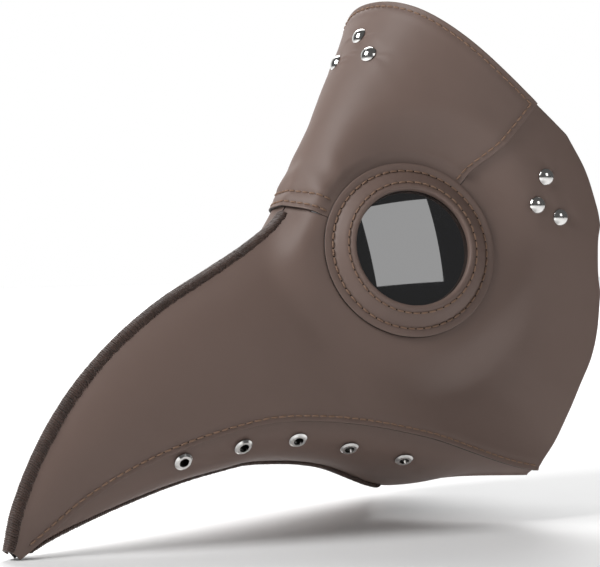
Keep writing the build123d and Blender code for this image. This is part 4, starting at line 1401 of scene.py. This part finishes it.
class MASK_OT_stage(bpy.types.Operator):
    """Set the pale floor, the soft lights and the camera"""

    bl_idname = "mask.stage"
    bl_label = "Stage"

    def execute(self, context):
        stage = context.scene.mask_stage
        middle = Vector((0.0, -0.14, -0.02))
        ground = CAD_BOX[0].z - 0.0006
        size = 3.0
        points = [(-size, -size, ground), (size, -size, ground), (size, size, ground), (-size, size, ground)]
        floor = piece("floor", np.array(points) / MM, [(0, 1, 2, 3)], [self.floor_finish(stage)])
        world = bpy.data.worlds.new("soft_room")
        world.use_nodes = True
        self.room(world.node_tree)
        context.scene.world = world
        eye = (0.045, -0.09, 0.0)
        area_light("key_softbox", around(352, 40, 1.0, middle), middle, (0.45, 0.6), stage.key_power)
        area_light("window_softbox", around(89, 27, 0.75, eye), eye, (0.30, 0.34), stage.key_power * WINDOW_SHARE)
        area_light("backdrop_light", around(234, 42, 3.2, middle), around(234, 0, 1.6, middle), (2.5, 2.5),
                   stage.backdrop_power)
        camera = bpy.data.objects.new("camera", bpy.data.cameras.new("camera"))
        camera.data.lens, camera.data.sensor_width = 108.0, 36.0
        target = Vector((0.030, -0.145, -0.020))
        camera.location = around(math.degrees(stage.azimuth), math.degrees(stage.elevation), stage.distance, target)
        camera.rotation_euler = (target - camera.location).to_track_quat("-Z", "Y").to_euler()
        context.scene.collection.objects.link(camera)
        context.scene.camera = camera
        context.scene.view_settings.view_transform = "Standard"
        return {"FINISHED"}

    def room(self, tree):
        """White behind the mask and dim elsewhere, so the leather keeps its depth."""
        look = tree.nodes.new("ShaderNodeTexCoord")
        dot = tree.nodes.new("ShaderNodeVectorMath")
        dot.operation = "DOT_PRODUCT"
        dot.inputs[1].default_value = around(234, -2, 1.0, (0, 0, 0))
        ramp = tree.nodes.new("ShaderNodeValToRGB")
        ramp.color_ramp.interpolation = "EASE"
        for stop, position, grey in zip(ramp.color_ramp.elements, (0.35, 0.88), (0.10, 1.0)):
            stop.position, stop.color = position, (grey, grey, grey, 1.0)
        tree.links.new(look.outputs["Generated"], dot.inputs[0])
        tree.links.new(dot.outputs["Value"], ramp.inputs["Fac"])
        tree.links.new(ramp.outputs["Color"], tree.nodes["Background"].inputs["Color"])

    def floor_finish(self, stage):
        made = Finish("floor_paper", Specular_IOR_Level=0.2)
        at = made.place()
        fibre = made.noise(at, 40.0, 2.0, 0.5)
        made.link("Base Color", made.blend(fibre * 0.15, tone(stage.floor_colour), tone(stage.floor_colour, 0.95)))
        made.link("Roughness", 0.85 + fibre * 0.1)
        return made.material


# ---------------------------------------------------------------- add-on
OPERATORS = [MASK_OT_side_panels, MASK_OT_forehead_panel, MASK_OT_jaw_panels, MASK_OT_whip_stitching,
             MASK_OT_eyepieces, MASK_OT_hardware, MASK_OT_harness, MASK_OT_stage]
SETTINGS = {"mask_leather": MaskLeatherSettings, "mask_sewing": MaskSewingSettings, "mask_stage": MaskStageSettings}


class MASK_PT_sidebar(bpy.types.Panel):
    """Sizes, colours and steps of the mask"""

    bl_idname = "MASK_PT_sidebar"
    bl_label = "Plague Doctor Mask"
    bl_space_type = "VIEW_3D"
    bl_region_type = "UI"
    bl_category = "Beak Mask"

    def draw(self, context):
        for key in SETTINGS:
            group = getattr(context.scene, key)
            for name in group.__annotations__:
                self.layout.prop(group, name)
        for kind in OPERATORS:
            self.layout.operator(kind.bl_idname)


def register():
    for key, kind in SETTINGS.items():
        bpy.utils.register_class(kind)
        setattr(bpy.types.Scene, key, bpy.props.PointerProperty(type=kind))
    for kind in OPERATORS + [MASK_PT_sidebar]:
        bpy.utils.register_class(kind)


def unregister():
    for kind in [MASK_PT_sidebar] + OPERATORS[::-1]:
        bpy.utils.unregister_class(kind)
    for key, kind in SETTINGS.items():
        delattr(bpy.types.Scene, key)
        bpy.utils.unregister_class(kind)


def main():
    register()
    for kind in OPERATORS:
        group, name = kind.bl_idname.split(".")
        getattr(getattr(bpy.ops, group), name)()


if __name__ == "__main__":
    main()
